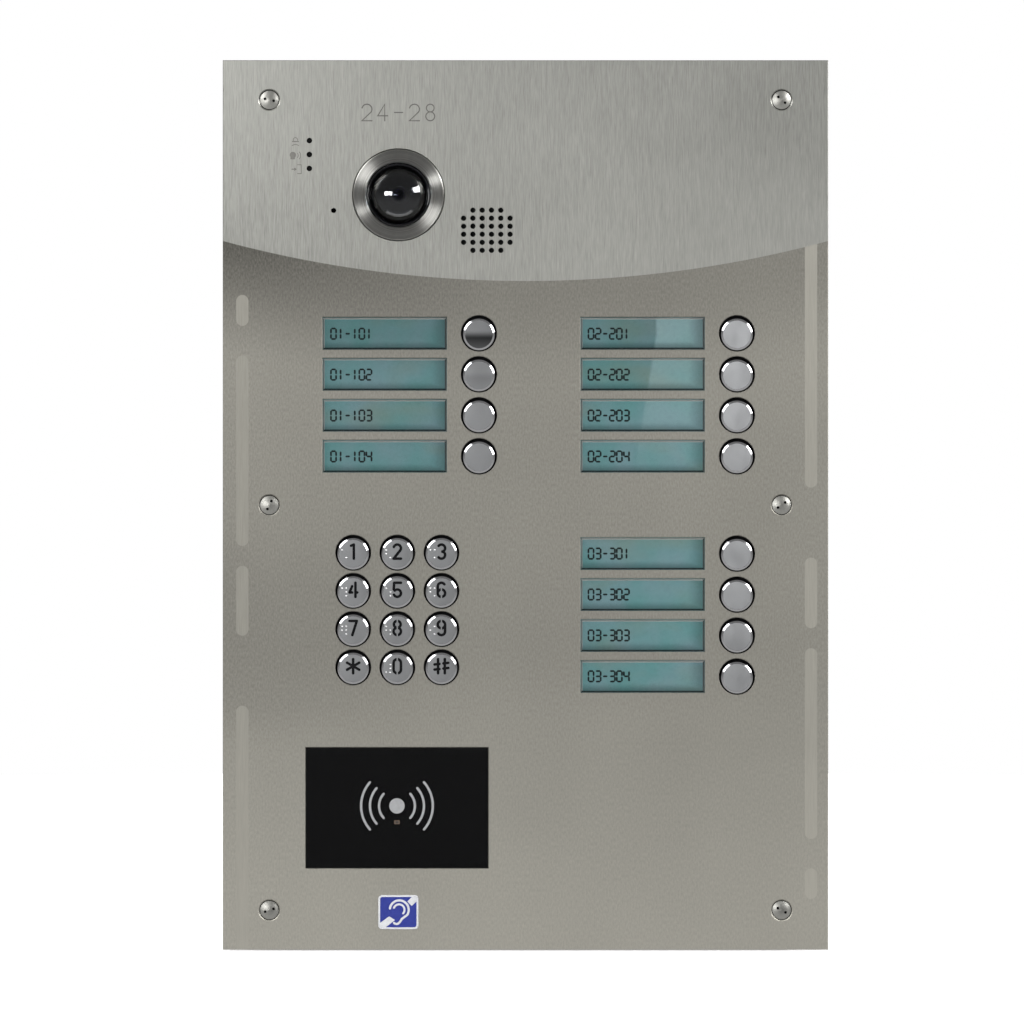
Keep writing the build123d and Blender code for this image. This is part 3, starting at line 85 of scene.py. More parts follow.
class Shader:
    """A material under construction, with short names for the nodes it needs."""

    def __init__(self, name, **values):
        self.material = bpy.data.materials.new(name)
        self.material.use_nodes = True
        self.tree = self.material.node_tree
        self.surface = self.tree.nodes["Principled BSDF"]
        self.coords = self.tree.nodes.new("ShaderNodeTexCoord")
        self.set(**values)

    def add(self, kind, **properties):
        node = self.tree.nodes.new("ShaderNode" + kind)
        for key, value in properties.items():
            setattr(node, key, value)
        return node

    def plug(self, socket, value):
        """Feeds an input from another node's output, or from a plain value."""
        if isinstance(value, bpy.types.NodeSocket):
            self.tree.links.new(value, socket)
        elif isinstance(value, (tuple, list)) and len(value) == 3 and socket.type == "RGBA":
            socket.default_value = (*value, 1.0)
        else:
            socket.default_value = value

    def set(self, **values):
        """Principled inputs, named with underscores for spaces."""
        for key, value in values.items():
            self.plug(self.surface.inputs[key.replace("_", " ")], value)

    def math(self, operation, a, b=0.0, c=0.0):
        """One arithmetic step on sockets or numbers."""
        node = self.add("Math", operation=operation)
        for index, item in enumerate((a, b, c)):
            self.plug(node.inputs[index], item)
        return node.outputs[0]

    def axes(self, vector=None):
        """X, Y and Z of the object's own coordinates, in metres."""
        node = self.add("SeparateXYZ")
        self.plug(node.inputs[0], vector or self.coords.outputs["Object"])
        return node.outputs

    def stretched(self, scale, offset=(0, 0, 0)):
        """Object coordinates scaled and shifted, to feed a texture."""
        node = self.add("Mapping")
        self.plug(node.inputs["Vector"], self.coords.outputs["Object"])
        node.inputs["Scale"].default_value = scale
        node.inputs["Location"].default_value = offset
        return node.outputs[0]

    def noise(self, scale, detail=3.0, roughness=0.55, offset=(0, 0, 0)):
        """Noise whose cells per metre are given along X, Y and Z."""
        node = self.add("TexNoise")
        self.plug(node.inputs["Vector"], self.stretched(scale, offset))
        node.inputs["Scale"].default_value = 1.0
        node.inputs["Detail"].default_value = detail
        node.inputs["Roughness"].default_value = roughness
        return node.outputs["Fac"]

    def span(self, value, low, high, out_low=0.0, out_high=1.0, smooth=False):
        """Maps low..high onto out_low..out_high, held at the ends."""
        node = self.add("MapRange", interpolation_type="SMOOTHSTEP" if smooth else "LINEAR")
        for index, item in enumerate((value, low, high, out_low, out_high)):
            self.plug(node.inputs[index], item)
        return node.outputs[0]

    def mix(self, factor, a, b):
        """A blend from a to b."""
        node = self.add("Mix", data_type="RGBA")
        self.plug(node.inputs["Factor"], factor)
        self.plug(node.inputs["A"], a)
        self.plug(node.inputs["B"], b)
        return node.outputs["Result"]

    def tint(self, colour, factor):
        """A colour scaled by a value near one."""
        node = self.add("VectorMath", operation="SCALE")
        if isinstance(colour, bpy.types.NodeSocket):
            self.plug(node.inputs[0], colour)
        else:
            node.inputs[0].default_value = colour
        self.plug(node.inputs["Scale"], factor)
        return node.outputs[0]

    def bump(self, height, distance, strength):
        """Roughens the surface by a height field."""
        node = self.add("Bump")
        node.inputs["Strength"].default_value = strength
        node.inputs["Distance"].default_value = distance
        self.plug(node.inputs["Height"], height)
        self.set(Normal=node.outputs[0])

    def from_middle(self, node):
        """X and Z in millimetres from the middle of a part whose box is like the given node's."""
        low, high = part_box(node)
        x, _, z = self.axes(self.coords.outputs["Generated"])
        dx = self.math("MULTIPLY", self.math("SUBTRACT", x, 0.5), (high.x - low.x) / MM)
        dz = self.math("MULTIPLY", self.math("SUBTRACT", z, 0.5), (high.z - low.z) / MM)
        return dx, dz

    def length(self, dx, dz):
        """Distance across X and Z."""
        squares = self.math("ADD", self.math("MULTIPLY", dx, dx), self.math("MULTIPLY", dz, dz))
        return self.math("SQRT", squares)

    def vector(self, x=0.0, y=0.0, z=0.0):
        """Three values as one vector."""
        node = self.add("CombineXYZ")
        for index, item in enumerate((x, y, z)):
            self.plug(node.inputs[index], item)
        return node.outputs[0]

    def row_height(self, z):
        """Height above the middle of the nearest row of call buttons."""
        upper, lower, pitch, _, _ = rows_and_banks()
        group = self.math("GREATER_THAN", z, (upper + lower) / 2 - 1.5 * pitch)
        start = self.span(group, 0.0, 1.0, lower, upper)
        return self.math("WRAP", self.math("SUBTRACT", z, start), pitch / 2, -pitch / 2)


def paint(material, *nodes):
    """Gives a material to every slot of some CAD nodes."""
    for name in nodes:
        obj = NODES[name]
        if not obj.material_slots:
            obj.data.materials.append(material)
        for slot in obj.material_slots:
            slot.material = material


WINDOW_WIDTH = 53.4 * MM
PANE_FLANGE_WIDTH = 56.0 * MM


def window_centres():
    """X and Z of the middle of each display window, worked out from the call buttons."""
    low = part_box("display_windows")[0]
    offset = centre(BUTTONS[0]).x - (low.x + PANE_FLANGE_WIDTH / 2)
    return [(centre(name).x - offset, centre(name).z + CAP_DROP) for name in BUTTONS]


WINDOW_CENTRES = window_centres()


# ======================= materials =======================

BRUSHED_COLOUR = (0.455, 0.455, 0.422)
BLASTED_COLOUR = (0.370, 0.358, 0.318)
BEAD_START_R = 12.4              # millimetres from the dome's axis
SCREW_HEAD_R = 4.0 * MM
SCREW_DOME_R = 8.9 * MM          # radius of curvature of the crowned heads
ARC_RADIUS = 500 * MM
ARC_LOW = 96.2 * MM
BAR_HALF = 2.65 * MM
FINISH_EDGE = 0.12 * MM          # half the width over which one finish gives way to the next
# X, top and bottom of each bar, in millimetres.
LEFT_BARS = ((-121.6, 90.2, 76.9), (-121.6, 64.2, -17.6), (-121.6, -26.1, -56.1), (-121.6, -86.2, -200.0))
RIGHT_BARS = ((122.6, 130.0, 7.5), (122.6, -22.6, -52.9), (122.6, -61.5, -143.4), (122.6, -156.0, -169.1))


def bar_distance(s, x, z, bar):
    """Signed distance from one upright round-ended bar."""
    bar_x, top, bottom = (value * MM for value in bar)
    half = (top - bottom) / 2 - BAR_HALF
    dx = s.math("SUBTRACT", x, bar_x)
    dz = s.math("ABSOLUTE", s.math("SUBTRACT", z, (top + bottom) / 2))
    over = s.math("MAXIMUM", s.math("SUBTRACT", dz, half), 0.0)
    squares = s.math("ADD", s.math("MULTIPLY", dx, dx), s.math("MULTIPLY", over, over))
    return s.math("SUBTRACT", s.math("SQRT", squares), BAR_HALF)


def brushed_light_and_streaks(s, x, z, streaks):
    """Brightness above the arc: painted reflection, least at the lower left and most at the lower right, with
    real upright grain streaks.
    """
    fine = s.noise((4200, 4200, 200), 2.0, 0.5, (3, 0, 7))
    # painted reflection: the across and height ramps and their lean stand in for the room's light on the
    # plate
    across = s.span(x, -130 * MM, 130 * MM)
    height = s.span(z, 92 * MM, 191 * MM)
    lean = s.math("MULTIPLY", across, s.span(height, 0.0, 1.0, 0.50, -0.15))
    level = s.math("ADD", s.span(height, 0.0, 1.0, 0.66, 0.92), lean)
    level = s.math("ADD", level, s.span(streaks, 0.3, 0.7, -0.11, 0.11))
    return s.math("ADD", level, s.span(fine, 0.3, 0.7, -0.09, 0.09))


def blasted_light_and_grain(s, x, z, below_arc, grain, streaks, bars):
    """Brightness below the arc: painted shade under it and at its left, painted reflection paler towards the
    foot, and paler bars whose level also carries painted reflection, over real grain and clouding.
    """
    cloud = s.noise((22, 22, 9), 3.0, 0.5)
    # painted shade under the arc, at its left and in a dip at the left middle; painted reflection brighter to
    # the right and towards the foot
    shade = s.span(below_arc, 0.0, 52 * MM, 0.80, 1.03, smooth=True)
    side = s.span(x, -130 * MM, -10 * MM, -0.42, 0.0)
    side = s.math("MULTIPLY", side, s.span(below_arc, 0.0, 45 * MM, 1.0, 0.1))
    right = s.span(x, 20 * MM, 120 * MM, 0.0, 0.07)
    dip = s.span(z, 0.0, -40 * MM, 0.0, -0.12, smooth=True)
    dip = s.math("MULTIPLY", dip, s.span(z, -88 * MM, -104 * MM, 1.0, 0.0))
    dip = s.math("MULTIPLY", dip, s.span(x, -130 * MM, -30 * MM, 1.0, 0.0))
    foot = s.math("ADD", s.span(z, -55 * MM, -112 * MM, 0.0, 0.19, smooth=True),
                  s.span(z, -105 * MM, -191 * MM, 0.0, 0.30))
    level = shade
    for term in (side, right, dip, foot):
        level = s.math("ADD", level, term)
    level = s.math("ADD", level, s.span(grain, 0.3, 0.7, -0.14, 0.14))
    level = s.math("ADD", level, s.span(cloud, 0.3, 0.7, -0.03, 0.03))
    # bar brightness: painted reflection, rising to the right and towards the foot
    bar_level = s.math("ADD", s.span(x, -120 * MM, 120 * MM, 1.15, 1.38), s.math("MULTIPLY", foot, 0.7))
    bar_level = s.math("ADD", bar_level, s.span(streaks, 0.3, 0.7, -0.08, 0.08))
    return s.math("ADD", level, s.math("MULTIPLY", bars, s.math("SUBTRACT", bar_level, level)))


def faceplate_steel():
    """Brushed above the arc and blasted below it, with paler bars at the sides, painted reflection and shade
    over both finishes, and painted shade making the hole walls dark.
    """
    s = Shader("stainless_plate", Metallic=1.0)
    x, y, z = s.axes()
    below_arc = s.math("SUBTRACT", s.length(x, s.math("SUBTRACT", z, ARC_LOW + ARC_RADIUS)), ARC_RADIUS)
    brushed = s.span(below_arc, -FINISH_EDGE, FINISH_EDGE, 1.0, 0.0)
    bars = 0.0
    for bar in LEFT_BARS + RIGHT_BARS:
        within_bar = s.span(bar_distance(s, x, z, bar), -FINISH_EDGE, FINISH_EDGE, 1.0, 0.0)
        bars = s.math("MAXIMUM", bars, within_bar)
    streaks = s.noise((2600, 2600, 110), 4.0, 0.6)
    grain = s.noise((1500, 1500, 650), 3.0, 0.6)
    smudge = s.noise((9, 9, 14), 2.0, 0.5, (11, 0, 4))
    top = s.tint(BRUSHED_COLOUR, brushed_light_and_streaks(s, x, z, streaks))
    low = s.tint(BLASTED_COLOUR, blasted_light_and_grain(s, x, z, below_arc, grain, streaks, bars))
    # painted shade: surfaces deeper than the plate's face, away from its outer edges, are coloured near
    # black, which darkens the hole walls
    inside = s.math("GREATER_THAN", y, PLATE_FRONT + 0.4 * MM)
    off_sides = s.math("LESS_THAN", s.math("ABSOLUTE", x), PLATE_W / 2 - 2 * MM)
    off_ends = s.math("LESS_THAN", s.math("ABSOLUTE", z), PLATE_H / 2 - 2 * MM)
    walls = s.math("MULTIPLY", inside, s.math("MULTIPLY", off_sides, off_ends))
    s.set(Base_Color=s.mix(walls, s.mix(brushed, low, top), (0.05, 0.05, 0.05)))
    rough = s.mix(brushed, (0.58, 0.58, 0.58), (0.40, 0.40, 0.40))
    s.set(Roughness=s.math("ADD", rough, s.span(smudge, 0.35, 0.65, -0.02, 0.02)))
    s.set(Anisotropic=s.math("MULTIPLY", brushed, 0.6), Tangent=s.vector(x=1.0))
    s.bump(s.mix(brushed, grain, streaks), 0.012 * MM, 0.5)
    return s.material


def turned_steel():
    """Lathe-turned steel: concentric tool marks, which spread each lamp along the radius."""
    s = Shader("turned_steel", Metallic=1.0, Anisotropic=0.96)
    dx, dz = s.from_middle("camera_bezel")
    wave = s.add("TexNoise", noise_dimensions="1D")
    s.plug(wave.inputs["W"], s.math("MULTIPLY", s.length(dx, dz), 2.2))
    wave.inputs["Scale"].default_value = 1.0
    wave.inputs["Detail"].default_value = 4.0
    marks = wave.outputs["Fac"]
    dirt = s.noise((300, 300, 300), 3.0, 0.6)
    level = s.math("ADD", s.span(marks, 0.3, 0.7, 0.82, 1.16), s.span(dirt, 0.3, 0.7, -0.05, 0.05))
    s.set(Base_Color=s.tint((0.56, 0.555, 0.525), level), Roughness=s.span(marks, 0.3, 0.7, 0.30, 0.40))
    s.set(Tangent=s.vector(x=dx, z=dz))
    s.bump(marks, 0.01 * MM, 0.4)
    return s.material


def cap_steel(name, like, face_radius, brightness, marked):
    """Satin face inside a polished edge, coloured black below the plate's face as painted shade in the gap
    round the cap.
    Marked caps have black paint in their cut characters and painted glints on their raised dots."""
    s = Shader(name, Metallic=1.0)
    x, y, z = s.axes()
    radius = s.length(*s.from_middle(like))
    face = s.span(radius, face_radius - 0.12, face_radius + 0.05, 1.0, 0.0)
    # painted shade: the cap below the plate's face is coloured black, darkening the gap round it
    gap_shade = s.math("GREATER_THAN", y, PLATE_FRONT + 0.2 * MM)
    satin = s.noise((2600, 2600, 2600), 3.0, 0.6)
    smear = s.noise((160, 160, 90), 3.0, 0.55)
    level = s.math("ADD", s.span(satin, 0.3, 0.7, 0.97, 1.03), s.span(smear, 0.3, 0.7, -0.03, 0.03))
    # unmarked caps carry painted reflection and shade from button_shade
    if not marked:
        level = s.math("MULTIPLY", level, button_shade(s, x, z))
    rough = s.math("ADD", s.math("MULTIPLY", face, 0.37), 0.12)
    rough = s.math("ADD", rough, s.span(smear, 0.3, 0.7, -0.03, 0.04))
    satin_colour = s.tint((0.965, 0.98, 1.0), s.math("MULTIPLY", level, brightness))
    colour = s.mix(face, (0.6, 0.6, 0.61), satin_colour)
    black = gap_shade
    if marked:
        sunk = s.math("GREATER_THAN", y, PLATE_FRONT - 0.45 * MM)
        cut = s.math("MULTIPLY", sunk, s.math("LESS_THAN", radius, 5.6))
        black = s.math("MAXIMUM", gap_shade, cut)
        # painted glint: the tops of the raised dots on marked caps are coloured white
        dot = s.span(y, PLATE_FRONT - 0.74 * MM, PLATE_FRONT - 0.82 * MM)
        colour = s.mix(dot, colour, (1.0, 1.0, 1.0))
    colour = s.mix(black, colour, (0.006, 0.006, 0.007))
    rough = s.math("MAXIMUM", rough, s.math("MULTIPLY", black, 0.7))
    s.set(Base_Color=colour, Roughness=rough, Metallic=s.math("SUBTRACT", 1.0, black))
    s.set(Specular_IOR_Level=s.span(black, 0.0, 1.0, 0.5, 0.15))
    s.bump(satin, 0.004 * MM, 0.35)
    return s.material


def button_shade(s, x, z):
    """Painted reflection and shade of the room: caps are duller on the left bank and lower down, and the top
    ones there are duller still and dark in their lower halves.
    """
    upper, lower, pitch, left_bank, right_bank = rows_and_banks()
    bank = s.span(x, left_bank, right_bank, 0.62, 1.0)
    fall = s.span(z, upper, lower - 3 * pitch, 1.0, 0.8)
    low_half = s.span(s.row_height(z), 2.0 * MM, -1.8 * MM, 0.0, 1.0, smooth=True)
    row = s.span(z, upper - 2.4 * pitch, upper, 0.0, 1.0)
    row = s.math("POWER", row, 2.6)
    left = s.span(x, left_bank + 10 * MM, left_bank + 20 * MM, 1.0, 0.0)
    dark = s.math("MULTIPLY", s.math("MULTIPLY", low_half, row), s.math("MULTIPLY", left, 0.97))
    rim = s.math("MULTIPLY", row, s.span(left, 0.0, 1.0, 0.0, 0.25))
    bright = s.math("MULTIPLY", s.math("MULTIPLY", bank, fall), s.math("SUBTRACT", 1.0, rim))
    return s.math("MULTIPLY", bright, s.math("SUBTRACT", 1.0, dark))


def screw_steel():
    """Satin heads with painted shade in their drive pits. The screws stand in two columns of three."""
    s = Shader("stainless_screw", Metallic=1.0)
    low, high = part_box("faceplate_screws")
    reach_x, reach_z = high.x - SCREW_HEAD_R, high.z - SCREW_HEAD_R
    x, y, z = s.axes()
    dx = s.math("SUBTRACT", s.math("ABSOLUTE", x), reach_x)
    radius = s.length(dx, s.math("WRAP", z, reach_z / 2, -reach_z / 2))
    dome = s.math("DIVIDE", s.math("MULTIPLY", radius, radius), 2 * SCREW_DOME_R)
    depth = s.math("SUBTRACT", s.math("SUBTRACT", y, low.y), dome)
    # painted shade: the drive pits are coloured near black
    pit_shade = s.math("MULTIPLY", s.span(depth, 0.12 * MM, 0.3 * MM), s.math("LESS_THAN", radius, 3.3 * MM))
    grain = s.noise((1500, 1500, 1500), 3.0, 0.6)
    satin = s.tint((0.50, 0.495, 0.46), s.span(grain, 0.3, 0.7, 0.93, 1.07))
    s.set(Base_Color=s.mix(pit_shade, satin, (0.02, 0.02, 0.02)), Roughness=s.span(grain, 0.3, 0.7, 0.36, 0.44))
    s.bump(grain, 0.008 * MM, 0.4)
    return s.material


def plain_metal(name, colour, roughness, grain=(900, 900, 900), spread=0.08):
    s = Shader(name, Metallic=1.0)
    speck = s.noise(grain, 4.0, 0.6)
    blotch = s.noise((60, 60, 60), 3.0, 0.55)
    level = s.span(speck, 0.3, 0.7, 1 - spread, 1 + spread)
    level = s.math("ADD", level, s.span(blotch, 0.3, 0.7, -spread, spread))
    s.set(Base_Color=s.tint(colour, level))
    s.set(Roughness=s.span(speck, 0.3, 0.7, roughness - 0.05, roughness + 0.07))
    s.bump(speck, 0.01 * MM, 0.4)
    return s.material


def galvanised_steel():
    """Zinc coating with its flat crystal spangle and a dull bloom."""
    s = Shader("galvanised", Metallic=1.0)
    cells = s.add("TexVoronoi", feature="F1")
    s.plug(cells.inputs["Vector"], s.stretched((130, 130, 130)))
    cells.inputs["Scale"].default_value = 1.0
    shade = s.axes(cells.outputs["Color"])[0]
    bloom = s.noise((18, 18, 12), 4.0, 0.6)
    streak = s.noise((400, 400, 30), 3.0, 0.6)
    level = s.math("ADD", s.span(shade, 0.0, 1.0, 0.86, 1.1), s.span(bloom, 0.3, 0.7, -0.07, 0.07))
    level = s.math("ADD", level, s.span(streak, 0.3, 0.7, -0.02, 0.02))
    s.set(Base_Color=s.tint((0.47, 0.485, 0.50), level), Roughness=s.span(shade, 0.0, 1.0, 0.46, 0.60))
    s.bump(shade, 0.01 * MM, 0.25)
    return s.material


def moulded(name, colour, roughness, grain=1400, depth=0.02, shine=0.5):
    """Moulded plastic or rubber with a fine texture and slight handling marks."""
    s = Shader(name, Metallic=0.0, Specular_IOR_Level=shine)
    texture = s.noise((grain, grain, grain), 3.0, 0.6)
    marks = s.noise((45, 45, 70), 3.0, 0.6, (5, 2, 1))
    level = s.math("ADD", s.span(texture, 0.3, 0.7, 0.9, 1.1), s.span(marks, 0.3, 0.7, -0.08, 0.08))
    s.set(Base_Color=s.tint(colour, level))
    s.set(Roughness=s.span(marks, 0.3, 0.7, roughness - 0.05, roughness + 0.08))
    s.bump(texture, depth * MM, 0.5)
    return s.material


def circuit_board():
    """Solder mask over copper tracks, with the board's weave showing through faintly."""
    s = Shader("circuit_board", Coat_Weight=0.3)
    tracks = s.add("TexBrick")
    s.plug(tracks.inputs["Vector"], s.stretched((180, 180, 180)))
    tracks.inputs["Scale"].default_value = 1.0
    tracks.inputs["Mortar Size"].default_value = 0.08
    s.plug(tracks.inputs["Color1"], (0.015, 0.13, 0.06))
    s.plug(tracks.inputs["Color2"], (0.02, 0.17, 0.075))
    s.plug(tracks.inputs["Mortar"], (0.04, 0.25, 0.11))
    weave = s.noise((1500, 1500, 1500), 2.0)
    s.set(Base_Color=s.tint(tracks.outputs["Color"], s.span(weave, 0.3, 0.7, 0.88, 1.12)), Roughness=0.35)
    s.bump(tracks.outputs["Fac"], 0.03 * MM, 0.4)
    return s.material


def clear_pane():
    """Thin clear sheet, mostly see-through, with a plain surface reflection, faint dust and frosted bevels.
    The bevels carry painted light: pale along the top, with painted shade along the foot and the right."""
    s = Shader("clear_pane", Roughness=0.5)
    clear = s.add("BsdfTransparent")
    gloss = s.add("BsdfGlossy")
    gloss.inputs["Roughness"].default_value = 0.06
    join = s.add("MixShader")
    fresnel = s.add("Fresnel")
    fresnel.inputs["IOR"].default_value = 1.45
    dust = s.noise((700, 700, 700), 4.0, 0.6)
    amount = s.math("ADD", s.math("MULTIPLY", fresnel.outputs[0], 0.9), s.span(dust, 0.45, 0.75, 0.0, 0.06))
    s.plug(clear.inputs["Color"], (0.93, 0.96, 0.96))
    s.plug(join.inputs[0], amount)
    s.plug(join.inputs[1], clear.outputs[0])
    s.plug(join.inputs[2], gloss.outputs[0])
    # painted light on the bevels: brighter where they face up, darker where they face down or to the right
    nx, ny, nz = s.axes(s.add("NewGeometry").outputs["True Normal"])
    level = s.math("ADD", s.span(nz, -0.7, 0.7, 0.04, 0.62), s.span(nx, -0.7, 0.7, 0.0, -0.22))
    s.set(Base_Color=s.tint((1.0, 1.0, 0.96), s.math("MAXIMUM", level, 0.02)))
    edges = s.add("MixShader")
    s.plug(edges.inputs[0], s.span(s.math("ABSOLUTE", ny), 0.85, 0.95, 0.8, 0.0))
    s.plug(edges.inputs[1], join.outputs[0])
    s.plug(edges.inputs[2], s.surface.outputs[0])
    s.plug(s.tree.nodes["Material Output"].inputs["Surface"], edges.outputs[0])
    return s.material


def display_light():
    """Lit blue-green displays, with painted shade dulling their right and bottom edges.
    A pale slanting patch crosses the upper right ones."""
    s = Shader("lcd", Roughness=0.3)
    x, _, z = s.axes()
    upper, _, pitch, _, right_bank = rows_and_banks()
    drift = s.noise((46, 46, 40), 2.0, 0.5, (1.7, 0, 2.3))
    green = s.noise((30, 30, 60), 2.0, 0.5, (4.1, 0, 0.3))
    grid = s.noise((2500, 2500, 2500), 1.0)
    glow = s.mix(s.span(drift, 0.38, 0.62), (0.105, 0.232, 0.232), (0.152, 0.242, 0.262))
    glow = s.mix(s.span(green, 0.5, 0.72, 0.0, 0.7), glow, (0.165, 0.215, 0.185))
    fold = s.span(z, upper - 3 * pitch, upper, WINDOW_CENTRES[4][0] - 2.5 * MM, WINDOW_CENTRES[4][0] + 6 * MM)
    pale = s.span(s.math("SUBTRACT", x, fold), -0.6 * MM, 0.6 * MM)
    pale = s.math("MULTIPLY", pale, s.span(z, upper - 3.6 * pitch, upper, 0.0, 0.55))
    glow = s.mix(pale, glow, (0.30, 0.405, 0.415))
    dim = s.math("MULTIPLY", s.math("SUBTRACT", 1.0, pale), s.span(x, 0.0, right_bank, 0.0, 1.0))
    dim = s.math("MULTIPLY", dim, s.span(z, upper - 1.5 * pitch, upper, 0.0, 0.42))
    level = s.math("SUBTRACT", s.span(grid, 0.3, 0.7, 0.97, 1.03), dim)
    # painted shade from the window edges: each display dims towards its foot and its right
    bottom = s.span(s.row_height(z), -2.0 * MM, -6.0 * MM, 0.0, 0.42, smooth=True)
    half = WINDOW_WIDTH / 2
    bank = s.span(s.math("GREATER_THAN", x, 0.0), 0.0, 1.0, WINDOW_CENTRES[0][0], WINDOW_CENTRES[4][0])
    right = s.span(s.math("SUBTRACT", x, bank), half - 8 * MM, half - 1 * MM, 0.0, 0.35, smooth=True)
    level = s.math("SUBTRACT", level, s.math("MAXIMUM", bottom, right))
    bank_level = s.span(x, 0.0, right_bank, 0.92, 1.12)
    first = s.math("MULTIPLY", s.span(z, upper - pitch, upper, 0.0, 0.18), s.math("LESS_THAN", x, 0.0))
    glow = s.tint(glow, s.math("MULTIPLY", level, s.math("SUBTRACT", bank_level, first)))
    s.set(Base_Color=s.tint(glow, 0.5), Emission_Color=glow, Emission_Strength=0.95)
    return s.material


def dome_glass():
    """Smoked polycarbonate dome with a black bead round its foot."""
    s = Shader("dome_glass", IOR=1.58)
    bead = s.math("GREATER_THAN", s.length(*s.from_middle("camera_dome")), BEAD_START_R)
    haze = s.noise((350, 350, 350), 3.0, 0.6)
    clear = s.tint((0.24, 0.26, 0.29), s.span(haze, 0.3, 0.7, 0.96, 1.04))
    s.set(Base_Color=s.mix(bead, clear, (0.006, 0.006, 0.007)))
    s.set(Roughness=s.span(haze, 0.3, 0.7, 0.01, 0.03), Transmission_Weight=s.math("SUBTRACT", 1.0, bead))
    return s.material


def lens_glass():
    """Coated lens: near black with a violet-green bloom."""
    s = Shader("lens_glass", Roughness=0.03, Coat_Weight=1.0, Coat_Roughness=0.02)
    facing = s.add("LayerWeight")
    facing.inputs["Blend"].default_value = 0.35
    ring = s.noise((500, 500, 500), 2.0)
    bloom = s.mix(facing.outputs["Facing"], (0.012, 0.006, 0.03), (0.01, 0.035, 0.03))
    s.set(Base_Color=s.tint(bloom, s.span(ring, 0.3, 0.7, 0.9, 1.1)), IOR=1.9)
    return s.material


def reader_gloss():
    """Deep black acrylic with hairline scratches."""
    s = Shader("reader_black", Coat_Weight=1.0, Coat_Roughness=0.03)
    hair = s.noise((90, 90, 2200), 2.0, 0.7)
    dust = s.noise((1600, 1600, 1600), 4.0, 0.65)
    level = s.math("ADD", s.span(dust, 0.62, 0.8, 1.0, 3.0), s.span(hair, 0.3, 0.7, -0.1, 0.1))
    s.set(Base_Color=s.tint((0.003, 0.003, 0.0032), level), Roughness=s.span(hair, 0.3, 0.7, 0.08, 0.14))
    return s.material


def ink(name, colour, roughness=0.5, grain=900, spread=0.1):
    """Printed or etched mark with uneven cover."""
    s = Shader(name)
    cover = s.noise((grain, grain, grain), 3.0, 0.6)
    s.set(Base_Color=s.tint(colour, s.span(cover, 0.3, 0.7, 1 - spread, 1 + spread)))
    s.set(Roughness=s.span(cover, 0.3, 0.7, roughness - 0.06, roughness + 0.06))
    return s.material


def finish_cad_nodes():
    """One material for each CAD node."""
    paint(faceplate_steel(), "faceplate")
    paint(cap_steel("polished_cap", BUTTONS[0], 6.0, 0.68, False), *BUTTONS)
    paint(cap_steel("key_steel", KEYS[0], 5.95, 0.385, True), *KEYS)
    paint(turned_steel(), "camera_bezel")
    paint(screw_steel(), "faceplate_screws")
    paint(plain_metal("zinc_nut", (0.72, 0.73, 0.74), 0.3), "stud_nuts")
    paint(moulded("capsule_felt", (0.005, 0.005, 0.005), 0.9, 2200, 0.08, 0.1), "microphone")
    paint(plain_metal("coil_copper", (0.62, 0.30, 0.16), 0.35, (300, 300, 3000)), "hearing_loop_coil")
    paint(galvanised_steel(), "back_box")
    rubber = moulded("gasket_rubber", (0.022, 0.022, 0.022), 0.75)
    paint(rubber, "faceplate_gasket", "cable_grommet", "microphone_boot")
    black = moulded("black_plastic", (0.009, 0.009, 0.010), 0.45)
    paint(black, "call_module_frames", "keypad_frame", "camera_housing", "camera_gimbal_ring", "camera_ball")
    paint(moulded("silicone", (0.32, 0.33, 0.34), 0.55), "call_button_mats", "keypad_mat")
    boards = [name for name in NODES if name.endswith("_board") or name.endswith("_boards")]
    paint(circuit_board(), *boards)
    paint(moulded("steel_mesh", (0.012, 0.012, 0.012), 0.6, 4200, 0.1), "speaker_mesh")
    paint(moulded("painted_basket", (0.03, 0.03, 0.03), 0.4), "speaker_frame")
    paint(moulded("cone_paper", (0.04, 0.04, 0.04), 0.85, 900, 0.05), "speaker_cone")
    paint(moulded("ferrite", (0.05, 0.05, 0.052), 0.6, 600, 0.05), "speaker_magnet")
    paint(moulded("light_pipe", (0.003, 0.003, 0.003), 0.5, shine=0.1), "indicator_light_pipes")
    paint(moulded("terminal_green", (0.03, 0.30, 0.11), 0.4), "terminal_blocks")
    paint(moulded("ribbon_grey", (0.38, 0.38, 0.40), 0.5), "wiring_looms")
    paint(clear_pane(), "display_windows")
    paint(display_light(), "display_panels")
    paint(dome_glass(), "camera_dome")
    paint(lens_glass(), "camera_lens")
    paint(reader_gloss(), "reader_window")
    paint(ink("label_white", (0.50, 0.51, 0.53), 0.4, spread=0.04), "hearing_loop_label")


# ======================= flat marks =======================

LAYER = 0.0006 * MM              # each outline of a mark stands this much proud of the one before


def prism(name, outlines, front, back):
    """A thin piece whose outlines of X and Z (metres) run from Y front to Y back."""
    mesh = bmesh.new()
    for index, outline in enumerate(outlines):
        raised = front - index * LAYER
        near = [mesh.verts.new((x, raised, z)) for x, z in outline]
        far = [mesh.verts.new((x, back, z)) for x, z in outline]
        mesh.faces.new(near)
        mesh.faces.new(list(reversed(far)))
        for i in range(len(near)):
            j = (i + 1) % len(near)
            mesh.faces.new((near[j], near[i], far[i], far[j]))
    bmesh.ops.recalc_face_normals(mesh, faces=mesh.faces)
    data = bpy.data.meshes.new(name)
    mesh.to_mesh(data)
    mesh.free()
    obj = bpy.data.objects.new(name, data)
    bpy.context.scene.collection.objects.link(obj)
    return obj


def mark(name, outlines, front, material, back=None):
    """A printed or etched film on a fixed part."""
    piece = prism(name, outlines, front, front + FILM if back is None else back)
    piece.data.materials.append(material)
    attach(piece, "root")


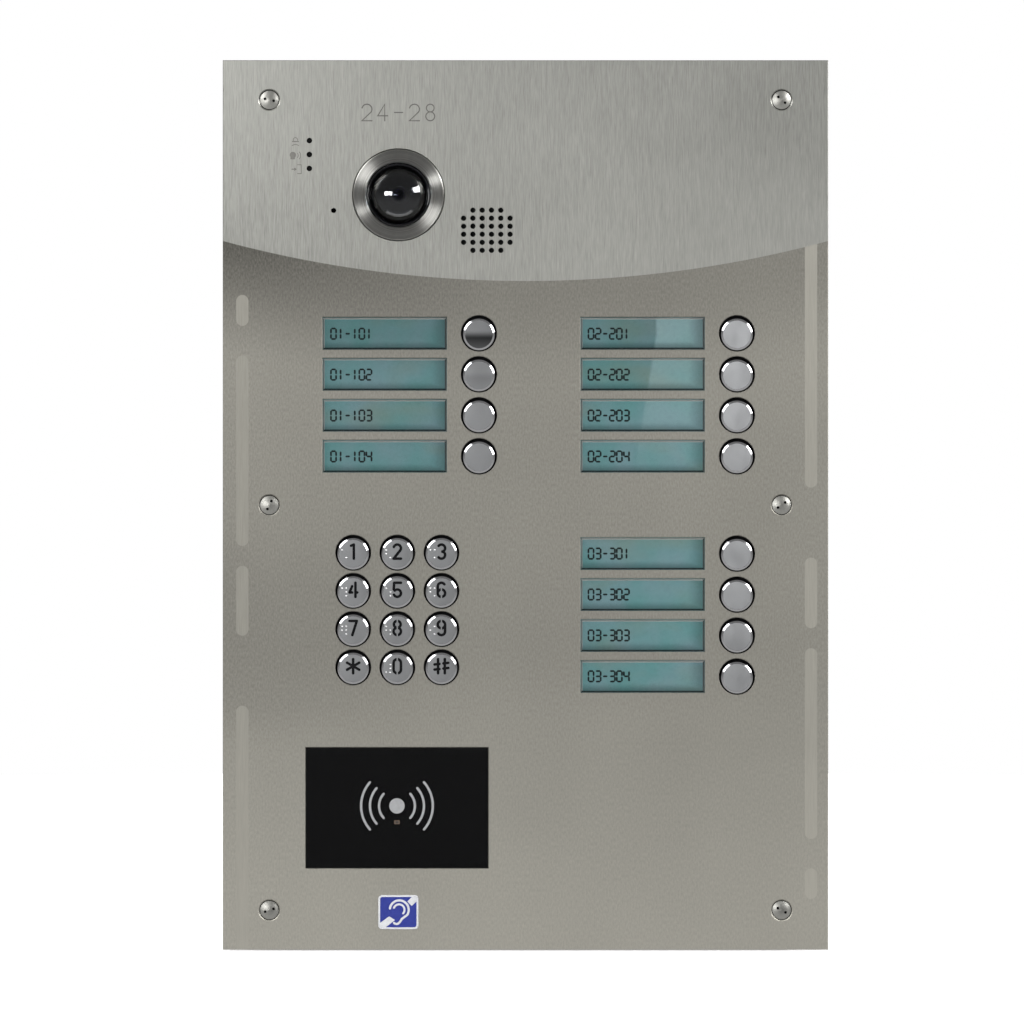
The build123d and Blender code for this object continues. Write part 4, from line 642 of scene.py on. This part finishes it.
def arc(x, z, radius, start, sweep, steps=24):
    """Points along an arc, angles in degrees."""
    points = []
    for i in range(steps + 1):
        turn = math.radians(start + sweep * i / steps)
        points.append((x + radius * math.cos(turn), z + radius * math.sin(turn)))
    return points


def pen(points, width):
    """Closed outline of a line drawn with a round pen of even width."""
    line = [Vector(p) for p in points]
    left, right = [], []
    for i, here in enumerate(line):
        before = (here - line[i - 1]).normalized() if i else None
        after = (line[i + 1] - here).normalized() if i < len(line) - 1 else None
        along = ((before or after) + (after or before)).normalized()
        normal = Vector((-along.y, along.x))
        spread = width / 2 / max(0.5, normal.dot(Vector((-(after or before).y, (after or before).x))))
        left.append(here + normal * spread)
        right.append(here - normal * spread)
    outline = left + cap_end(line[-1], line[-1] - line[-2], width / 2)
    outline += list(reversed(right)) + cap_end(line[0], line[0] - line[1], width / 2)
    return [tuple(p) for p in outline]


def ring(x, z, radius, width):
    """Closed outline of a round line: out along the outer edge and back along the inner one."""
    return arc(x, z, radius + width / 2, 90, 359.6, 40) + arc(x, z, radius - width / 2, 449.6, -359.6, 40)


def cap_end(point, direction, radius, steps=6):
    """Half circle round the end of a line, without its two ends."""
    start = math.degrees(math.atan2(direction.y, direction.x)) + 90
    return [Vector(p) for p in arc(point.x, point.y, radius, start, -180, steps)[1:-1]]


def rounded_box(x, z, width, height, radius, steps=8):
    """Closed outline of a rectangle with round corners."""
    outline = []
    for index, (i, j) in enumerate(((1, 1), (-1, 1), (-1, -1), (1, -1))):
        corner_x = x + i * (width / 2 - radius)
        corner_z = z + j * (height / 2 - radius)
        outline += arc(corner_x, corner_z, radius, 90 * index, 90, steps)
    return outline


# ---- display characters ----

SEGMENTS = {
    "0": "abcdef", "1": "hi", "2": "abged", "3": "abgcd", "4": "fgbc",
    "5": "afgcd", "6": "afgedc", "7": "abc", "8": "abcdefg", "9": "abcdfg", "-": "g",
}
CELL_W = 2.2 * MM
CELL_H = 4.5 * MM
CELL_PITCH = 3.05 * MM
SEGMENT_W = 0.78 * MM


def segment(name, x, z):
    """Outline of one bar of a seven-bar character whose lower left corner is at x, z."""
    half = CELL_H / 2
    gap = SEGMENT_W * 0.05
    ends = {
        "a": ((0, 2 * half), (CELL_W, 2 * half)),
        "b": ((CELL_W, 2 * half), (CELL_W, half)),
        "c": ((CELL_W, half), (CELL_W, 0)),
        "d": ((0, 0), (CELL_W, 0)),
        "e": ((0, half), (0, 0)),
        "f": ((0, 2 * half), (0, half)),
        "g": ((0, half), (CELL_W, half)),
        "h": ((CELL_W / 2, 2 * half), (CELL_W / 2, half)),
        "i": ((CELL_W / 2, half), (CELL_W / 2, 0)),
    }[name]
    start = Vector(ends[0])
    along = (Vector(ends[1]) - start).normalized()
    length = (Vector(ends[1]) - start).length
    across = Vector((-along.y, along.x)) * SEGMENT_W / 2
    tip = SEGMENT_W / 2
    outline = []
    for distance, side in ((gap, 0), (gap + tip, 1), (length - gap - tip, 1),
                           (length - gap, 0), (length - gap - tip, -1), (gap + tip, -1)):
        point = start + along * distance + across * side
        outline.append((x + point.x, z + point.y))
    return outline


def flat_number(index):
    """Staircase and flat, four flats to a staircase."""
    stair, flat = divmod(index, 4)
    return f"{stair + 1:02d}-{stair + 1}{flat + 1:02d}"


def display_characters():
    """The lit-off segments of all twelve displays."""
    outlines = []
    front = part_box("display_panels")[0].y
    for index, (x, z) in enumerate(WINDOW_CENTRES):
        left = x - 23.2 * MM
        for place, character in enumerate(flat_number(index)):
            for name in SEGMENTS[character]:
                outlines.append(segment(name, left + place * CELL_PITCH, z - CELL_H / 2))
    dark = ink("lcd_dark", (0.004, 0.007, 0.008), 0.6)
    mark("display_characters", outlines, front - 0.02 * MM, dark, back=front - 0.005 * MM)


# ---- badge reader symbol ----

def reader_symbol():
    """A dot between three arcs on each side, and the small status lamp below."""
    middle = centre("reader_window")
    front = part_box("reader_window")[0].y
    x, z = middle.x, middle.z + 0.9 * MM
    outlines = [arc(x, z, 3.3 * MM, 0, 360, 40)[:-1]]
    for radius, half in ((7.7, 42), (11.6, 41), (15.4, 41)):
        for side in (0, 180):
            outlines.append(pen(arc(x, z, radius * MM, side - half, 2 * half), 1.0 * MM))
    grey = ink("symbol_grey", (0.25, 0.255, 0.26), 0.45)
    mark("reader_symbol", outlines, front - FILM, grey)
    lamp = rounded_box(x, z - 7.0 * MM, 2.4 * MM, 1.7 * MM, 0.3 * MM, 3)
    hole = rounded_box(x, z - 7.0 * MM, 1.3 * MM, 0.8 * MM, 0.2 * MM, 3)
    dim = ink("lamp_brown", (0.10, 0.07, 0.05), 0.3)
    mark("reader_lamp", [lamp], front - FILM, dim)
    core = ink("lamp_core", (0.03, 0.03, 0.03), 0.3)
    mark("reader_lamp_core", [hole], front - 1.6 * FILM, core, back=front - FILM)


# ---- hearing loop label ----

def hearing_label():
    """White-bordered blue film with an ear outline and a slanting band."""
    low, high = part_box("hearing_loop_label")
    x, z = (low.x + high.x) / 2, (low.z + high.z) / 2
    width, height = high.x - low.x, high.z - low.z
    border = 0.8 * MM
    field = rounded_box(x, z, width - 2 * border, height - 2 * border, 1.0 * MM)
    blue = ink("label_blue", (0.018, 0.030, 0.225), 0.35, spread=0.05)
    mark("label_field", [field], low.y - 0.02 * MM, blue, back=low.y)
    white = ink("label_print", (0.50, 0.51, 0.53), 0.4, spread=0.04)
    ear = arc(x + 0.4 * MM, z + 1.0 * MM, 4.05 * MM, 172, -205, 30)
    ear += [(x + 1.5 * MM, z - 2.9 * MM), (x + 0.9 * MM, z - 3.9 * MM)]
    ear += arc(x - 0.8 * MM, z - 3.6 * MM, 1.5 * MM, -35, -100, 10)
    curl = arc(x + 0.3 * MM, z + 1.0 * MM, 2.35 * MM, 158, -198, 22)
    lines = [pen(ear, 0.95 * MM), pen(curl, 0.85 * MM)]
    half_w = (width / 2 - border) / MM
    half_h = (height / 2 - border) / MM
    lower_bar = [(-half_w, -4.6), (-3.9, -1.8), (-1.4, -3.4), (-5.4, -half_h), (-half_w, -half_h)]
    upper_bar = [(3.9, 4.6), (5.7, half_h), (half_w, half_h), (half_w, 4.6), (5.7, 2.6)]
    for bar in (lower_bar, upper_bar):
        lines.append([(x + dx * MM, z + dz * MM) for dx, dz in bar])
    mark("label_print", lines, low.y - 0.04 * MM, white, back=low.y - 0.02 * MM)


# ---- etched marks on the faceplate ----

def status_pictograms():
    """Small etched signs beside the lights: a bell, a talking head and an open door."""
    low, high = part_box("indicator_light_pipes")
    pitch = 6.0 * MM
    lights = (low.x + high.x) / 2
    top = (low.z + high.z) / 2 + pitch
    thin = 0.28 * MM
    x, z = lights - 6.0 * MM, top + 0.3 * MM
    bell = pen(arc(x, z, 0.95 * MM, 200, -220, 14), thin)
    rim = pen([(x - 1.3 * MM, z - 0.75 * MM), (x + 1.3 * MM, z - 0.75 * MM)], 0.42 * MM)
    ring = pen(arc(x, z - 4.3 * MM, 2.3 * MM, 50, 80, 10), thin)
    x, z = lights - 7.1 * MM, top - pitch - 0.4 * MM
    head = arc(x, z + 0.2 * MM, 1.35 * MM, 0, 360, 20)[:-1]
    neck = rounded_box(x - 0.1 * MM, z - 1.2 * MM, 1.9 * MM, 0.9 * MM, 0.2 * MM, 3)
    waves = [pen(arc(x + 0.8 * MM, z, r * MM, -38, 76, 8), thin) for r in (1.5, 2.5)]
    x, z = lights - 6.6 * MM, top - 2 * pitch - 0.3 * MM
    shaft = pen([(x - 0.9 * MM, z), (x + 0.7 * MM, z)], 0.4 * MM)
    tip = [(x + 0.1 * MM, z + 0.75 * MM), (x + 1.2 * MM, z), (x + 0.1 * MM, z - 0.75 * MM)]
    door = pen([(x + 1.5 * MM, z + 1.9 * MM), (x + 3.1 * MM, z + 1.9 * MM), (x + 3.1 * MM, z - 1.9 * MM),
                (x + 1.5 * MM, z - 1.9 * MM)], thin)
    faint = ink("etched_faint", (0.13, 0.127, 0.115), 0.6)
    outlines = [bell, rim, ring, head, neck] + waves + [shaft, tip, door]
    mark("status_pictograms", outlines, PLATE_FRONT - 0.01 * MM, faint, back=PLATE_FRONT)


def house_numbers():
    """Thin etched numbers of the entrance above the camera."""
    camera = centre("camera_bezel")
    width, height, pitch = 4.3 * MM, 7.1 * MM, 6.8 * MM
    x0 = camera.x - (4 * pitch + width) / 2
    z0 = camera.z + 31.8 * MM
    line = 0.5 * MM
    strokes, rounds = [], []
    for place, character in enumerate("24-28"):
        x = x0 + place * pitch
        half = height / 2
        if character == "2":
            bend = arc(x + width / 2, z0 + height - width / 2, width / 2, 165, -200, 16)
            strokes.append(bend + [(x, z0), (x + width, z0)])
        elif character == "4":
            strokes.append([(x + width * 0.7, z0), (x + width * 0.7, z0 + height), (x, z0 + height * 0.3),
                            (x + width, z0 + height * 0.3)])
        elif character == "8":
            rounds.append(ring(x + width / 2, z0 + height - 1.65 * MM, 1.65 * MM, line))
            rounds.append(ring(x + width / 2, z0 + 1.9 * MM, 1.9 * MM, line))
        else:
            strokes.append([(x + 0.4 * MM, z0 + half), (x + width - 0.4 * MM, z0 + half)])
    outlines = [pen(stroke, line) for stroke in strokes] + rounds
    etched = ink("etched_number", (0.10, 0.098, 0.088), 0.6)
    mark("house_numbers", outlines, PLATE_FRONT - 0.01 * MM, etched, back=PLATE_FRONT)


# ======================= studio =======================

ROOM_BELOW = 0.5
ROOM_ABOVE = 0.22
ROOM_FRONT = 0.035


def softbox(name, azimuth, elevation, distance, width, height, radiance, only=(), skip=()):
    """Rectangular lamp facing the panel; azimuth turns from -Y towards +X, angles in degrees.
    With names in only it lights those CAD nodes alone, and with names in skip all but those."""
    turn, rise = math.radians(azimuth), math.radians(elevation)
    away = Vector((math.sin(turn) * math.cos(rise), -math.cos(turn) * math.cos(rise), math.sin(rise)))
    data = bpy.data.lights.new(name, "AREA")
    data.shape = "RECTANGLE"
    data.size = width
    data.size_y = height
    data.energy = 4 * width * height * radiance
    lamp = bpy.data.objects.new(name, data)
    lamp.location = away * distance
    lamp.rotation_euler = (-away).to_track_quat("-Z", "Y").to_euler()
    lamp.visible_camera = False
    bpy.context.scene.collection.objects.link(lamp)
    if only or skip:
        listed = bpy.data.collections.new(name + "_nodes")
        for node in only or skip:
            listed.objects.link(NODES[node])
        if skip:
            for entry in listed.collection_objects:
                entry.light_linking.link_state = "EXCLUDE"
        lamp.light_linking.receiver_collection = listed


def studio_world():
    """White to the camera. Lit surfaces see a grey room, pale below, with a dark patch straight in front."""
    world = bpy.data.worlds.new("studio")
    bpy.context.scene.world = world
    world.use_nodes = True
    tree = world.node_tree
    links = tree.links
    tree.nodes.clear()
    seen = tree.nodes.new("ShaderNodeBackground")
    room = tree.nodes.new("ShaderNodeBackground")
    split = tree.nodes.new("ShaderNodeSeparateXYZ")
    links.new(tree.nodes.new("ShaderNodeTexCoord").outputs["Generated"], split.inputs[0])

    def ramp(source, low, high, out_low, out_high):
        node = tree.nodes.new("ShaderNodeMapRange")
        node.interpolation_type = "SMOOTHSTEP"
        links.new(source, node.inputs["Value"])
        for name, value in (("From Min", low), ("From Max", high)):
            node.inputs[name].default_value = value
        for name, value in (("To Min", out_low), ("To Max", out_high)):
            if isinstance(value, bpy.types.NodeSocket):
                links.new(value, node.inputs[name])
            else:
                node.inputs[name].default_value = value
        return node.outputs["Result"]

    height = ramp(split.outputs["Z"], -0.5, 0.3, ROOM_BELOW, ROOM_ABOVE)
    links.new(ramp(split.outputs["Y"], -0.97, -0.87, ROOM_FRONT, height), room.inputs["Strength"])
    join = tree.nodes.new("ShaderNodeMixShader")
    links.new(tree.nodes.new("ShaderNodeLightPath").outputs["Is Camera Ray"], join.inputs[0])
    links.new(room.outputs[0], join.inputs[1])
    links.new(seen.outputs[0], join.inputs[2])
    out = tree.nodes.new("ShaderNodeOutputWorld")
    links.new(join.outputs[0], out.inputs["Surface"])
    for background in (seen, room):
        background.inputs["Color"].default_value = (1.0, 1.0, 1.0, 1.0)


def studio_floor():
    """Pale round floor under the panel."""
    mesh = bmesh.new()
    bmesh.ops.create_circle(mesh, cap_ends=True, radius=1.5, segments=96)
    data = bpy.data.meshes.new("studio_floor")
    mesh.to_mesh(data)
    mesh.free()
    floor = bpy.data.objects.new("studio_floor", data)
    floor.location.z = CAD_BOX[0][2] - 0.5 * MM
    bpy.context.scene.collection.objects.link(floor)
    s = Shader("studio_white", Roughness=0.9)
    speck = s.noise((3, 3, 3), 2.0)
    tone = s.tint((0.9, 0.9, 0.9), s.span(speck, 0.3, 0.7, 0.99, 1.01))
    s.set(Base_Color=tone, Emission_Color=tone, Emission_Strength=0.55)
    data.materials.append(s.material)
    floor.visible_glossy = False
    floor.visible_transmission = False


def studio_camera():
    """Level view square on to the faceplate, as wide as the picture's frame."""
    data = bpy.data.cameras.new("camera")
    distance = 2.2
    frame_width = 439.7 * MM
    data.sensor_width = 36.0
    data.lens = data.sensor_width * distance / frame_width
    data.clip_end = 50.0
    camera = bpy.data.objects.new("camera", data)
    camera.location = (-5.8 * MM, PLATE_FRONT - distance, -3.0 * MM)
    camera.rotation_euler = (math.radians(90), 0, 0)
    bpy.context.scene.collection.objects.link(camera)
    bpy.context.scene.camera = camera


def studio_lights():
    """Lamps to the left, right and upper left, and ones that only the camera's dome or ring reflects."""
    dome, bezel = "camera_dome", "camera_bezel"
    softbox("left_front", -28, 7, 1.5, 0.78, 0.48, 3.2, skip=[dome, bezel])
    softbox("right", 69, 28, 1.2, 1.0, 0.6, 7, skip=[dome, bezel])
    softbox("upper_left", -68, 39, 1.3, 0.9, 0.8, 4.5, skip=[dome, bezel])
    softbox("dome_left", -41, 10, 1.5, 0.78, 0.37, 18, only=[dome])
    softbox("dome_right", 91, 25, 1.2, 1.5, 0.36, 18, only=[dome])
    softbox("dome_below", 0, -84, 1.2, 2.2, 0.34, 1.1, only=[dome])
    softbox("ring_left", -46, 31, 1.3, 0.38, 0.45, 13, only=[bezel])
    softbox("ring_right", 55, 28, 1.3, 0.8, 0.12, 26, only=[bezel])
    softbox("behind", 170, 45, 2.0, 1.6, 1.2, 6)


finish_cad_nodes()
display_characters()
reader_symbol()
hearing_label()
status_pictograms()
house_numbers()
studio_world()
studio_floor()
studio_lights()
studio_camera()
bpy.context.scene.view_settings.view_transform = "Standard"
